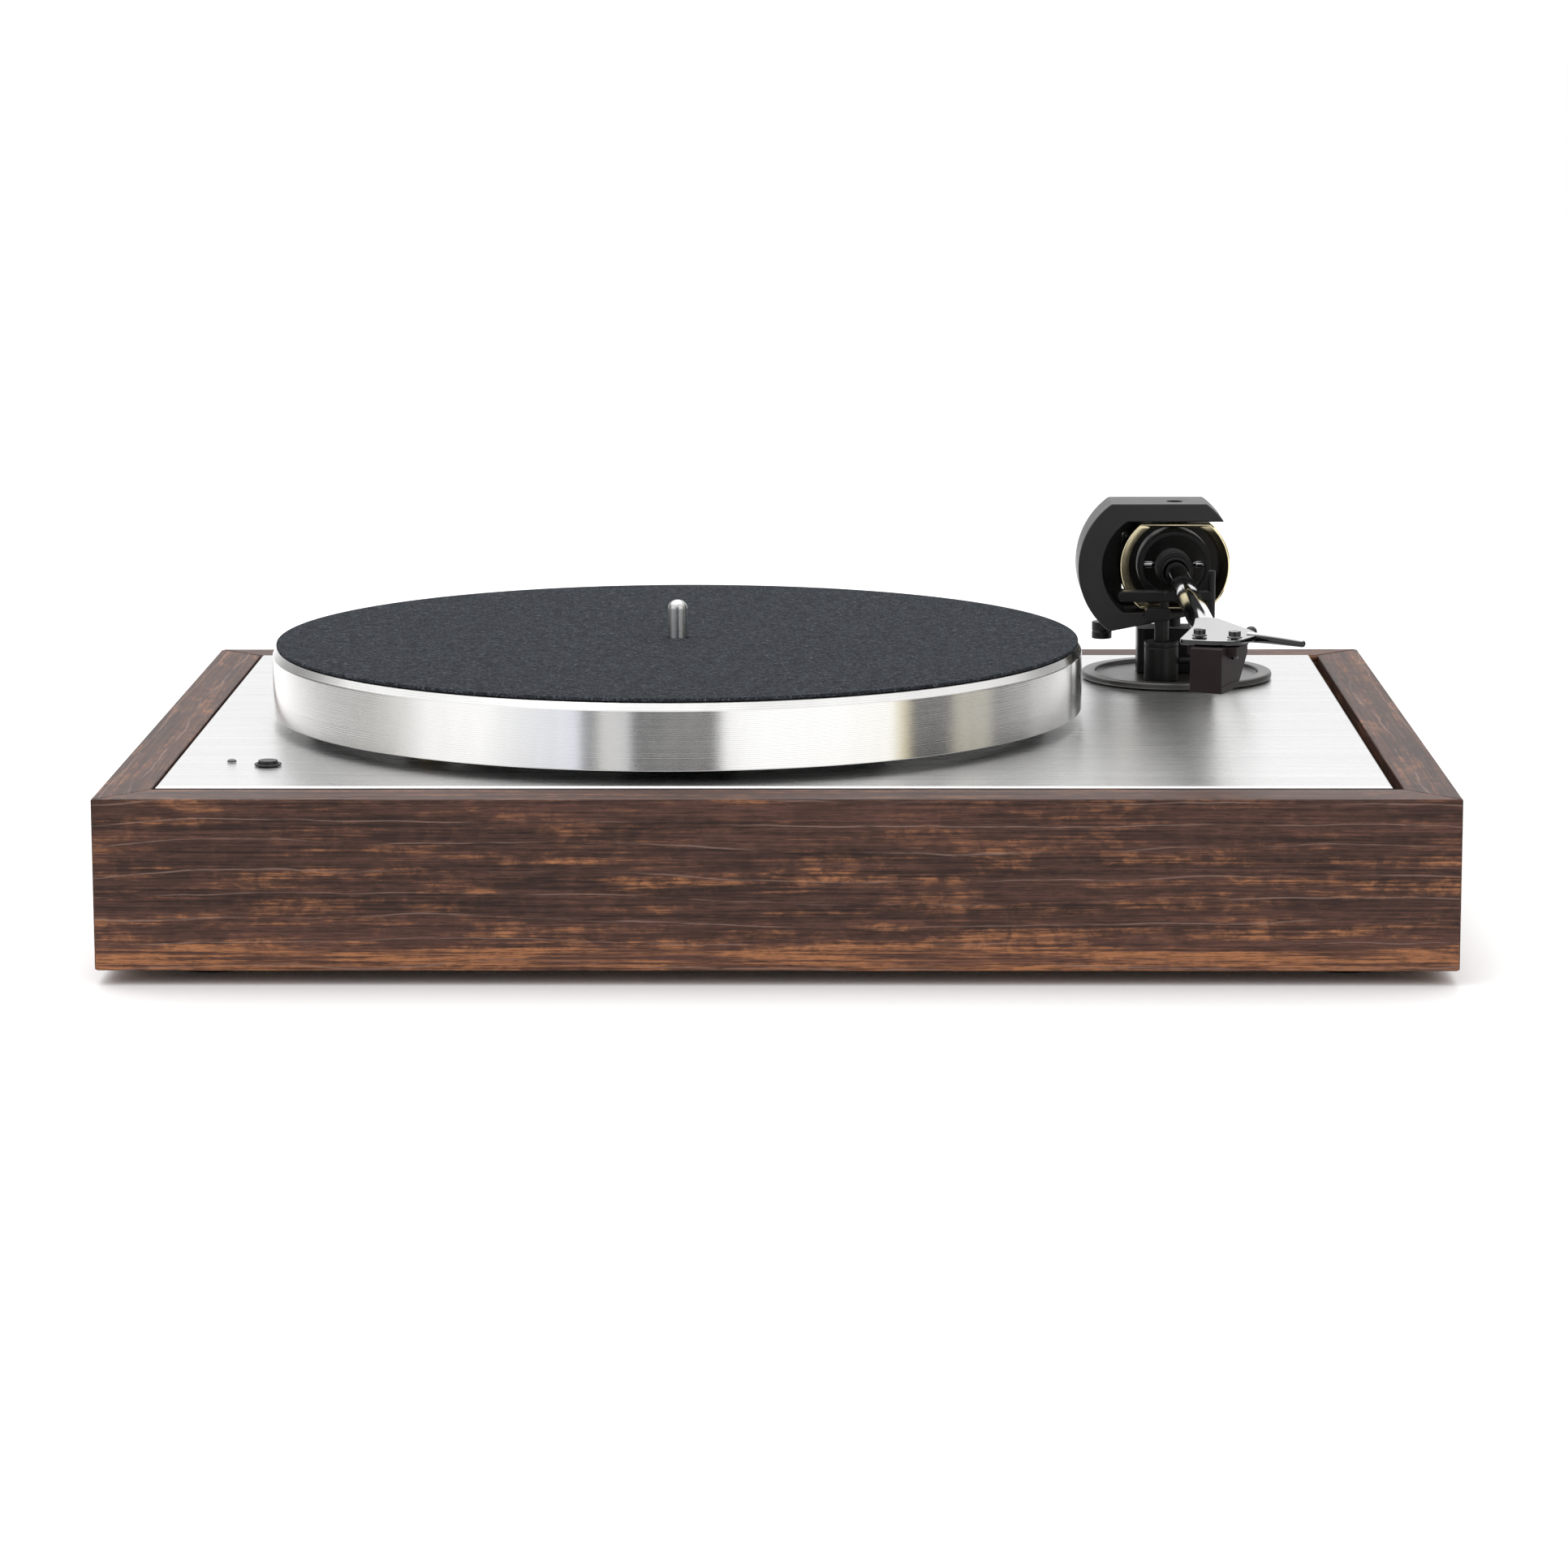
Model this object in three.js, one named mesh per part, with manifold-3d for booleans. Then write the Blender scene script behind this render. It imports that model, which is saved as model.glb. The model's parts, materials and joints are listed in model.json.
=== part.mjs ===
// Belt-drive record player: wood-veneered plinth, sprung aluminium deck, heavy platter and a
// gimbal-bearing tonearm. Millimetres, +Z up, origin on the ground at the centre of the plinth.

import * as THREE from 'three';
import { mergeVertices } from 'three/addons/utils/BufferGeometryUtils.js';
import Module from 'manifold-3d';

const wasm = await Module();
wasm.setup();

// ---------------------------------------------------------------- driving dimensions

const GAP = 0.3;                       // air between pieces that rest on each other

const PLINTH = { width: 462, depth: 351, height: 59, footHeight: 5, edge: 0.8 };
const WELL = { left: -213.3, right: 213.3, front: -155.5, back: 158 };
const FLOOR_BOARD = { thickness: 6 };
const DECK_Z = PLINTH.footHeight + PLINTH.height;

const FOOT = { radius: 15, insetX: 36, insetY: 34 };
const DAMPER = { radius: 12, insetX: 22, insetY: 16 };

const PLATE = {
  left: -212.1, right: 209.7, front: -153.1, back: 155.6, thickness: 2, top: DECK_Z + 0.5, bevel: 0.6,
};
const PLATE_HOLE = { bearing: 9.6, pulley: 10.5, button: 3.9 };
const SUB_CHASSIS = { thickness: 16, inset: 2, bearingHole: 10, motorHole: 26, buttonHole: 6 };

const SPINDLE = { x: -39, y: 5.7, shaftRadius: 5, tipRadius: 3.6, tipAboveMat: 14 };
const PLATTER = { radius: 150, bottom: DECK_Z + 4.1, top: DECK_Z + 27.8, wall: 13, roof: 6.5 };
const MAT = { radius: 148.6, thickness: 1.5, hole: 3.95 };
const SUB_PLATTER = {
  radius: 80, bottom: DECK_Z + 8, top: DECK_Z + 17, hub: 20, hubBottom: DECK_Z + 5.5, boss: 60,
};
const BEARING = { bore: 5.3, wall: 9, flange: 22, flangeHeight: 2.2, bottom: 14, floor: 2.6, ball: 2.4 };

const PULLEY_RATIO = 11.25;
const PULLEY = { x: -127, y: -56.3, radius: SUB_PLATTER.radius / PULLEY_RATIO, flange: 9 };
const MOTOR = { radius: 25, bottom: 31, shaftRadius: 1.2, shaftDepth: 7, bore: 1.6 };
const BELT = { bottom: DECK_Z + 10, width: 5, thickness: 0.8 };

const BUTTON = { x: -178.5, y: -110.9, radius: 3.4, bezelRadius: 4.75, top: DECK_Z + 2.6 };
const LAMP = { x: -192, y: -104.1, radius: 1.7, height: 1.1 };
const CONTROL_CARD = {
  left: 24, right: 36, front: 12, back: 24, thickness: 1.6, drop: 8, post: 2.5, inset: 4,
};

const ARM_PIVOT = { x: 150.8, y: 94, z: DECK_Z + 45 };
const ARM_BASE = { x: 152.3, y: 95.3, radius: 37, rimWidth: 5.2, rimHeight: 3.1, floor: 1.6 };
const ARM_COLUMN = { left: 137, right: 165, front: 94, back: 110 };
const YOKE = { x: 144.3, z: DECK_Z + 44.7, radius: 31, front: 84.5, depth: 26, top: 25, bottom: 24.7 };
const YOKE_WINDOW = { radius: 21.7, top: 18, bottom: 17.4 };
const YOKE_LIP = { middle: 131.4, reach: 139.5, waist: 11, shoulder: 14, thickness: 3 };
const GIMBAL = { radius: 21.5, inner: 17.6, chamfer: 3, flat: 16.8, wall: 1.7, depth: 12 };
const CRADLE = { radius: 14.4, inner: 12, depth: 11 };
const PIN_RADIUS = 1.2;
const HUB = { radius: 7, nose: 5.6, bore: 4.75, front: 81, step: 86, back: 101 };
const TUBE = { radius: 4.4, wall: 0.9, z: DECK_Z + 43.6, front: -78, back: 100 };
const STUB = { radius: 3.1, flange: 6, flangeThickness: 3, back: 158 };
const COUNTERWEIGHT = { radius: 20.6, bore: 3.5, front: 124.5, back: 144.5, edge: 1.2 };
const SCREW_SIZE = { shank: 2.9, head: 2.6 };

const HEAD = { x: 151.1, y: -129.1, top: DECK_Z + 48.2, thickness: 2, offsetAngle: 23.4 };
const CARTRIDGE_SCREW_SPACING = 12.7;
const STYLUS = { reach: 9.5, tip: DECK_Z + 29.65, radius: 0.35 };
const CARTRIDGE = { width: 11.4, bottom: DECK_Z + 30.2, earWidth: 17.8, earDepth: 12, earHeight: 3.2 };
const SCREW_REACH = 5;
const FINGER_LIFT_RADIUS = 1.5;

const LIFT = { x: 145.3, y: 77.3, radius: 6.6, stem: 2.85, neck: 1.6, top: DECK_Z + 17.5 };
const LIFT_BAR = { left: 128.3, right: 155.6, half: 2.05, depth: 5.6, top: DECK_Z + 37 };
const LEVER = { radius: 1.3, z: DECK_Z + 10, bendX: 174, knobX: 177.4, knobY: 48, knobZ: DECK_Z + 25 };
const REST = { x: 163.2, y: 62.5, radius: 1.45, top: DECK_Z + 46.8, saddleThickness: 3.4, saddleDepth: 4.4 };
const SKATE = { x: 124.3, y: 118, radius: 3.95, bottom: DECK_Z + 12.8, height: 6.7, hookZ: DECK_Z + 50 };

const BACK_WINDOW = { left: 60, right: 200, bottom: 16, top: 50 };
const JACK_PANEL = { front: 163, thickness: 2 };
const CONNECTOR_X = { left: 84, right: 104, ground: 130, power: 176 };

const FINE = 96;                        // sides of the large round pieces
const MEDIUM = 48;
const SMALL = 20;

// ---------------------------------------------------------------- finishes

function finish(color, roughness, metalness) {
  return new THREE.MeshStandardMaterial({ color, roughness, metalness });
}

const VENEER = finish(0x5c463d, 0.45, 0);
const BRUSHED = finish(0xc9c9c8, 0.35, 1);
const POLISHED = finish(0xd6d6d6, 0.15, 1);
const CHROME = finish(0xe4e4e6, 0.06, 1);
const GOLDEN = finish(0xcbb98a, 0.2, 1);
const STEEL = finish(0xa9abad, 0.3, 1);
const BRASS = finish(0xb8924a, 0.3, 1);
const SATIN_BLACK = finish(0x17171a, 0.42, 0.3);
const BLACK_PLASTIC = finish(0x1b1b1d, 0.45, 0);
const CARTRIDGE_BROWN = finish(0x2d2629, 0.5, 0);
const FELT = finish(0x4a4d52, 0.95, 0);
const RUBBER = finish(0x161616, 0.85, 0);
const BOARD = finish(0x6b5a45, 0.8, 0);
const CIRCUIT = finish(0x1f4a33, 0.6, 0);
const RED_PLASTIC = finish(0x8c1d1d, 0.45, 0);
const WHITE_PLASTIC = finish(0xe2e2de, 0.45, 0);

// ---------------------------------------------------------------- solid helpers

const model = new THREE.Group();

function addMesh(name, geometry, material, parent = model) {
  const mesh = new THREE.Mesh(geometry, material);
  mesh.name = name;
  parent.add(mesh);
  return mesh;
}

function toSolid(geometry) {
  const bare = geometry.clone();
  bare.deleteAttribute('normal');
  bare.deleteAttribute('uv');
  const merged = mergeVertices(bare, 1e-4);
  const triVerts = [];
  for (let i = 0; i < merged.index.count; i += 3) {
    const corners = [0, 1, 2].map((k) => merged.index.getX(i + k));
    if (new Set(corners).size === 3) triVerts.push(...corners);
  }
  return new wasm.Manifold(new wasm.Mesh({
    numProp: 3,
    vertProperties: new Float32Array(merged.attributes.position.array),
    triVerts: new Uint32Array(triVerts),
  }));
}

function toGeometry(solid) {
  const mesh = solid.getMesh();
  const geometry = new THREE.BufferGeometry();
  geometry.setAttribute('position', new THREE.BufferAttribute(new Float32Array(mesh.vertProperties), 3));
  geometry.setIndex(new THREE.BufferAttribute(new Uint32Array(mesh.triVerts), 1));
  geometry.computeVertexNormals();
  return geometry;
}

function cut(base, ...tools) {
  const solid = tools.reduce((left, tool) => left.subtract(toSolid(tool)), toSolid(base));
  return toGeometry(solid);
}

function join(base, ...extras) {
  const solid = extras.reduce((left, extra) => left.add(toSolid(extra)), toSolid(base));
  return toGeometry(solid);
}

// A box given by its lowest and highest corners.
function block(low, high) {
  const size = high.map((value, k) => value - low[k]);
  const middle = high.map((value, k) => (value + low[k]) / 2);
  return new THREE.BoxGeometry(...size).translate(...middle);
}

// A turned piece about +Z: the profile lists [radius, height], outwards and then up.
function turned(profile, x, y, sides = MEDIUM) {
  const points = profile.map(([radius, height]) => new THREE.Vector2(radius, height));
  return new THREE.LatheGeometry(points, sides).rotateX(Math.PI / 2).translate(x, y, 0);
}

// A ring or sleeve about +Z with square corners.
function sleeve(inner, outer, bottom, top, x, y, sides = MEDIUM) {
  const profile = [[inner, bottom], [outer, bottom], [outer, top], [inner, top], [inner, bottom]];
  return turned(profile, x, y, sides);
}

// A solid rod about +Z with square ends.
function rod(radius, bottom, top, x, y, sides = SMALL) {
  return turned([[0, bottom], [radius, bottom], [radius, top], [0, top]], x, y, sides);
}

// A turned piece about an axis along +Y: the profile lists [radius, y].
function turnedAlongY(profile, x, z, sides = MEDIUM) {
  const points = profile.map(([radius, along]) => new THREE.Vector2(radius, along));
  return new THREE.LatheGeometry(points, sides).translate(x, 0, z);
}

// A flat outline in X and Y, raised from bottom to top.
function slab(outline, bottom, top, bevel = 0) {
  const shape = outline instanceof THREE.Shape ? outline : shapeOf(outline);
  const options = {
    depth: top - bottom - 2 * bevel,
    bevelEnabled: bevel > 0,
    bevelSize: bevel,
    bevelThickness: bevel,
    bevelOffset: -bevel,
    bevelSegments: 1,
    curveSegments: 12,
  };
  return new THREE.ExtrudeGeometry(shape, options).translate(0, 0, bottom + bevel);
}

// An outline in X and Z, extended along +Y from front to back.
function standing(outline, front, back, bevel = 0) {
  return slab(outline, -back, -front, bevel).rotateX(Math.PI / 2);
}

function shapeOf(points) {
  return new THREE.Shape(points.map(([x, y]) => new THREE.Vector2(x, y)));
}

function arcPoints(x, y, radius, startAngle, endAngle, steps) {
  return Array.from({ length: steps + 1 }, (_, k) => {
    const angle = startAngle + (endAngle - startAngle) * k / steps;
    return [x + radius * Math.cos(angle), y + radius * Math.sin(angle)];
  });
}

// A round bar swept along a list of points.
function bar(points, radius, steps = 10, sides = 10) {
  const path = new THREE.CatmullRomCurve3(points.map((point) => new THREE.Vector3(...point)));
  const section = shapeOf(arcPoints(0, 0, radius, 0, 2 * Math.PI * (1 - 1 / sides), sides - 1));
  return new THREE.ExtrudeGeometry(section, { steps, extrudePath: path, bevelEnabled: false });
}

// ---------------------------------------------------------------- plinth

function plinthBoard(name, outer, inner, cutters = []) {
  const outline = [outer[0], outer[1], inner[1], inner[0]];
  const board = slab(outline, PLINTH.footHeight, DECK_Z, PLINTH.edge);
  addMesh(name, cutters.length ? cut(board, ...cutters) : board, VENEER);
}

function addPlinth() {
  const x = PLINTH.width / 2;
  const y = PLINTH.depth / 2;
  const mitre = GAP / 2;
  const window = block(
    [BACK_WINDOW.left, WELL.back - 1, BACK_WINDOW.bottom],
    [BACK_WINDOW.right, y + 1, BACK_WINDOW.top],
  );
  plinthBoard('plinth_front', [[-x + mitre, -y], [x - mitre, -y]],
    [[WELL.left + mitre, WELL.front], [WELL.right - mitre, WELL.front]]);
  plinthBoard('plinth_back', [[x - mitre, y], [-x + mitre, y]],
    [[WELL.right - mitre, WELL.back], [WELL.left + mitre, WELL.back]], [window]);
  plinthBoard('plinth_left', [[-x, y - mitre], [-x, -y + mitre]],
    [[WELL.left, WELL.back + mitre], [WELL.left, WELL.front - mitre]]);
  plinthBoard('plinth_right', [[x, -y + mitre], [x, y - mitre]],
    [[WELL.right, WELL.front - mitre], [WELL.right, WELL.back + mitre]]);
}

function addFloorAndFeet() {
  const bottom = PLINTH.footHeight;
  const floor = block(
    [WELL.left + GAP, WELL.front + GAP, bottom],
    [WELL.right - GAP, WELL.back - GAP, bottom + FLOOR_BOARD.thickness],
  );
  addMesh('floor_board', floor, BOARD);

  const top = bottom - GAP;
  const profile = [[0, 0], [FOOT.radius - 1, 0], [FOOT.radius, 1], [FOOT.radius - 1, top], [0, top]];
  let number = 0;
  for (const sideX of [-1, 1]) {
    for (const sideY of [-1, 1]) {
      number += 1;
      const x = sideX * (PLINTH.width / 2 - FOOT.insetX);
      const y = sideY * (PLINTH.depth / 2 - FOOT.insetY);
      addMesh(`foot_${number}`, turned(profile, x, y, SMALL), RUBBER);
    }
  }
}

function addDeck() {
  const subTop = PLATE.top - PLATE.thickness - GAP;
  const subBottom = subTop - SUB_CHASSIS.thickness;
  const hole = (radius, place) => rod(radius, subBottom - 1, PLATE.top + 1, place.x, place.y, MEDIUM);

  const inset = SUB_CHASSIS.inset;
  const board = block(
    [PLATE.left + inset, PLATE.front + inset, subBottom],
    [PLATE.right - inset, PLATE.back - inset, subTop],
  );
  const boardHoles = [
    hole(SUB_CHASSIS.bearingHole, SPINDLE),
    hole(SUB_CHASSIS.motorHole, PULLEY),
    hole(SUB_CHASSIS.buttonHole, BUTTON),
  ];
  addMesh('sub_chassis', cut(board, ...boardHoles), BOARD);

  const outline = [
    [PLATE.left, PLATE.front], [PLATE.right, PLATE.front],
    [PLATE.right, PLATE.back], [PLATE.left, PLATE.back],
  ];
  const plate = slab(outline, PLATE.top - PLATE.thickness, PLATE.top, PLATE.bevel);
  const plateHoles = [
    hole(PLATE_HOLE.bearing, SPINDLE),
    hole(PLATE_HOLE.pulley, PULLEY),
    hole(PLATE_HOLE.button, BUTTON),
  ];
  addMesh('top_plate', cut(plate, ...plateHoles), BRUSHED);

  const damperBottom = PLINTH.footHeight + FLOOR_BOARD.thickness + GAP;
  const damperTop = subBottom - GAP;
  let number = 0;
  for (const x of [PLATE.left + DAMPER.insetX, PLATE.right - DAMPER.insetX]) {
    for (const y of [PLATE.front + DAMPER.insetY, PLATE.back - DAMPER.insetY]) {
      number += 1;
      addMesh(`damper_${number}`, rod(DAMPER.radius, damperBottom, damperTop, x, y), RUBBER);
    }
  }
}

// ---------------------------------------------------------------- drive

function addBearing() {
  const flangeBottom = PLATE.top + GAP;
  const flangeTop = flangeBottom + BEARING.flangeHeight;
  const boreBottom = BEARING.bottom + BEARING.floor;
  const neck = BEARING.wall - 1;
  const neckTop = SUB_PLATTER.hubBottom - 2 * GAP;
  const housing = [
    [0, BEARING.bottom], [BEARING.wall, BEARING.bottom], [BEARING.wall, flangeBottom],
    [BEARING.flange, flangeBottom], [BEARING.flange, flangeTop], [neck, flangeTop],
    [neck, neckTop], [BEARING.bore, neckTop], [BEARING.bore, boreBottom], [0, boreBottom],
  ];
  addMesh('bearing_housing', turned(housing, SPINDLE.x, SPINDLE.y), STEEL);

  const ball = addMesh('thrust_ball', new THREE.SphereGeometry(BEARING.ball, 16, 10), STEEL);
  ball.position.set(SPINDLE.x, SPINDLE.y, boreBottom + BEARING.ball + GAP);
}

function addPlatter() {
  const matBottom = PLATTER.top + GAP;
  const matTop = PLATTER.top + MAT.thickness;
  const tip = matTop + SPINDLE.tipAboveMat;
  const shaftTop = PLATTER.top - 1;
  const shaftBottom = BEARING.bottom + 8;
  const spindle = [
    [0, shaftBottom], [2, shaftBottom], [SPINDLE.shaftRadius, shaftBottom + 2],
    [SPINDLE.shaftRadius, shaftTop], [SPINDLE.tipRadius, shaftTop], [SPINDLE.tipRadius, tip - 2.2],
    [SPINDLE.tipRadius - 0.5, tip - 1], [SPINDLE.tipRadius - 1.6, tip - 0.25], [0, tip],
  ];
  addMesh('platter_spindle', turned(spindle, SPINDLE.x, SPINDLE.y, 24), STEEL);

  const bore = SPINDLE.shaftRadius + GAP;
  const roofBottom = PLATTER.top - PLATTER.roof;
  const seat = roofBottom - GAP;
  const { radius, bottom, top, hub, hubBottom, boss } = SUB_PLATTER;
  const subPlatter = [
    [bore, hubBottom], [hub, hubBottom], [hub, bottom], [radius, bottom], [radius, top],
    [boss, top], [boss, seat], [bore, seat], [bore, hubBottom],
  ];
  addMesh('sub_platter', turned(subPlatter, SPINDLE.x, SPINDLE.y), BLACK_PLASTIC);

  const inside = PLATTER.radius - PLATTER.wall;
  const platter = [
    [bore, roofBottom], [inside, roofBottom], [inside, PLATTER.bottom],
    [PLATTER.radius - 0.3, PLATTER.bottom], [PLATTER.radius, PLATTER.bottom + 0.3],
    [PLATTER.radius, PLATTER.top - 2.8],
    [PLATTER.radius - 1.7, PLATTER.top], [bore, PLATTER.top], [bore, roofBottom],
  ];
  addMesh('platter', turned(platter, SPINDLE.x, SPINDLE.y, FINE), POLISHED);

  const mat = sleeve(MAT.hole, MAT.radius, matBottom, matTop, SPINDLE.x, SPINDLE.y, FINE);
  addMesh('slip_mat', mat, FELT);
}

// Outline of a band that wraps two circles, the first one larger.
function beltOutline(bigRadius, smallRadius) {
  const dx = PULLEY.x - SPINDLE.x;
  const dy = PULLEY.y - SPINDLE.y;
  const heading = Math.atan2(dy, dx);
  const spread = Math.acos((bigRadius - smallRadius) / Math.hypot(dx, dy));
  const bigStart = heading + spread;
  const bigEnd = heading - spread + 2 * Math.PI;
  const big = arcPoints(SPINDLE.x, SPINDLE.y, bigRadius, bigStart, bigEnd, 36);
  const small = arcPoints(PULLEY.x, PULLEY.y, smallRadius, heading - spread, heading + spread, 8);
  return [...big, ...small];
}

function addDrive() {
  const plateBottom = PLATE.top - PLATE.thickness;
  const shaftBottom = plateBottom - MOTOR.shaftDepth;
  const canTop = plateBottom - 2 * GAP;
  const can = [
    [0, MOTOR.bottom], [MOTOR.radius, MOTOR.bottom], [MOTOR.radius, canTop], [MOTOR.bore, canTop],
    [MOTOR.bore, shaftBottom - 1], [0, shaftBottom - 1],
  ];
  addMesh('motor', turned(can, PULLEY.x, PULLEY.y), STEEL);

  const band = BELT.bottom - 1;
  const bandTop = BELT.bottom + BELT.width + 1;
  const pulley = [
    [0, shaftBottom], [MOTOR.shaftRadius, shaftBottom], [MOTOR.shaftRadius, band - 4], [5, band - 4],
    [5, band - 1.5], [PULLEY.flange, band - 1.5], [PULLEY.flange, band - 0.5], [PULLEY.radius, band],
    [PULLEY.radius, bandTop], [PULLEY.flange, bandTop + 0.5], [PULLEY.flange, bandTop + 1.5],
    [0, bandTop + 1.5],
  ];
  addMesh('motor_pulley', turned(pulley, PULLEY.x, PULLEY.y, 32), BRASS);

  const innerBig = SUB_PLATTER.radius + GAP;
  const innerSmall = PULLEY.radius + GAP;
  const outline = shapeOf(beltOutline(innerBig + BELT.thickness, innerSmall + BELT.thickness));
  outline.holes.push(shapeOf(beltOutline(innerBig, innerSmall)));
  addMesh('drive_belt', slab(outline, BELT.bottom, BELT.bottom + BELT.width), RUBBER);
}

// ---------------------------------------------------------------- controls and connections

function addControls() {
  const base = PLATE.top + GAP;
  const bezelTop = DECK_Z + 1.5;
  const bezel = [
    [BUTTON.radius + GAP, base], [BUTTON.bezelRadius, base], [BUTTON.bezelRadius, bezelTop - 0.4],
    [BUTTON.bezelRadius - 0.4, bezelTop], [BUTTON.radius + GAP, bezelTop], [BUTTON.radius + GAP, base],
  ];
  addMesh('button_bezel', turned(bezel, BUTTON.x, BUTTON.y, 32), BLACK_PLASTIC);

  const stemBottom = DECK_Z - 22;
  const cap = [
    [0, stemBottom], [1.6, stemBottom], [1.6, DECK_Z - 1], [BUTTON.radius, DECK_Z - 1],
    [BUTTON.radius, BUTTON.top - 0.5], [BUTTON.radius - 0.5, BUTTON.top], [0, BUTTON.top],
  ];
  addMesh('power_button', turned(cap, BUTTON.x, BUTTON.y, 32), BLACK_PLASTIC);

  const lens = [[0, base], [LAMP.radius, base]];
  for (let k = 1; k <= 4; k += 1) {
    const angle = Math.PI / 2 * k / 4;
    lens.push([LAMP.radius * Math.cos(angle), base + LAMP.height * Math.sin(angle)]);
  }
  lens[lens.length - 1][0] = 0;
  addMesh('status_lamp', turned(lens, LAMP.x, LAMP.y, SMALL), BLACK_PLASTIC);
}

function addControlBoard() {
  const above = PLATE.top - PLATE.thickness - GAP - SUB_CHASSIS.thickness;
  const top = above - CONTROL_CARD.drop;
  const low = [BUTTON.x - CONTROL_CARD.left, BUTTON.y - CONTROL_CARD.front, top - CONTROL_CARD.thickness];
  const high = [BUTTON.x + CONTROL_CARD.right, BUTTON.y + CONTROL_CARD.back, top];
  const posts = [];
  for (const x of [low[0] + CONTROL_CARD.inset, high[0] - CONTROL_CARD.inset]) {
    for (const y of [low[1] + CONTROL_CARD.inset, high[1] - CONTROL_CARD.inset]) {
      posts.push(rod(CONTROL_CARD.post, top - 0.5, above - GAP, x, y, 12));
    }
  }
  addMesh('control_board', join(block(low, high), ...posts), CIRCUIT);
}

// A turned piece that points out of the rear panel, along +Y.
function addJack(name, profile, x, z, material) {
  addMesh(name, turnedAlongY(profile, x, z, 24), material);
}

function addRearPanel() {
  const front = JACK_PANEL.front;
  const back = front + JACK_PANEL.thickness;
  const z = (BACK_WINDOW.bottom + BACK_WINDOW.top) / 2;
  const panel = block(
    [BACK_WINDOW.left + GAP, front, BACK_WINDOW.bottom + GAP],
    [BACK_WINDOW.right - GAP, back, BACK_WINDOW.top - GAP],
  );
  addMesh('jack_panel', panel, BLACK_PLASTIC);

  const start = back + GAP;
  const end = PLINTH.depth / 2 - 0.6;
  const socket = (outer, inner) => [
    [0, start], [outer + 2, start], [outer + 2, start + 1.5], [outer, start + 1.5], [outer, end],
    [inner, end], [inner, start + 2.5], [0, start + 2.5],
  ];
  addJack('jack_left', socket(4.15, 1.7), CONNECTOR_X.left, z, WHITE_PLASTIC);
  addJack('jack_right', socket(4.15, 1.7), CONNECTOR_X.right, z, RED_PLASTIC);
  addJack('power_socket', socket(5.4, 3.2), CONNECTOR_X.power, z, BLACK_PLASTIC);
  const terminal = [
    [0, start], [4.4, start], [4.4, start + 1.2], [2, start + 1.2], [2, start + 3],
    [4.6, start + 3], [4.6, end - 0.6], [4, end], [0, end],
  ];
  addJack('ground_terminal', terminal, CONNECTOR_X.ground, z, BRASS);
}

// ---------------------------------------------------------------- tonearm support

function addArmBase() {
  const bottom = PLATE.top + GAP;
  const floor = PLATE.top + ARM_BASE.floor;
  const rim = PLATE.top + ARM_BASE.rimHeight;
  const inner = ARM_BASE.radius - ARM_BASE.rimWidth;
  const profile = [
    [0, bottom], [ARM_BASE.radius, bottom], [ARM_BASE.radius, rim - 1.4], [ARM_BASE.radius - 0.9, rim - 0.3],
    [ARM_BASE.radius - 1.8, rim], [inner + 0.6, rim], [inner, floor], [0, floor],
  ];
  addMesh('arm_base', turned(profile, ARM_BASE.x, ARM_BASE.y, 64), SATIN_BLACK);

  const column = [
    [ARM_COLUMN.left, ARM_COLUMN.front], [ARM_COLUMN.right, ARM_COLUMN.front],
    [ARM_COLUMN.right, ARM_COLUMN.back], [ARM_COLUMN.left, ARM_COLUMN.back],
  ];
  addMesh('arm_column', slab(column, floor + GAP, YOKE.z - YOKE.bottom - GAP, 1), SATIN_BLACK);
}

// Circle about the yoke's centre with its top and bottom sliced flat; open on the right if asked.
function slicedCircle(radius, top, bottom, steps, reach = 0) {
  const upper = Math.asin(top / radius);
  const lower = Math.asin(bottom / radius);
  const left = arcPoints(YOKE.x, YOKE.z, radius, Math.PI - upper, Math.PI + lower, steps);
  if (reach > 0) return [...left, [YOKE.x + reach, YOKE.z - bottom], [YOKE.x + reach, YOKE.z + top]];
  return [...left, ...arcPoints(YOKE.x, YOKE.z, radius, -lower, upper, steps)];
}

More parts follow.
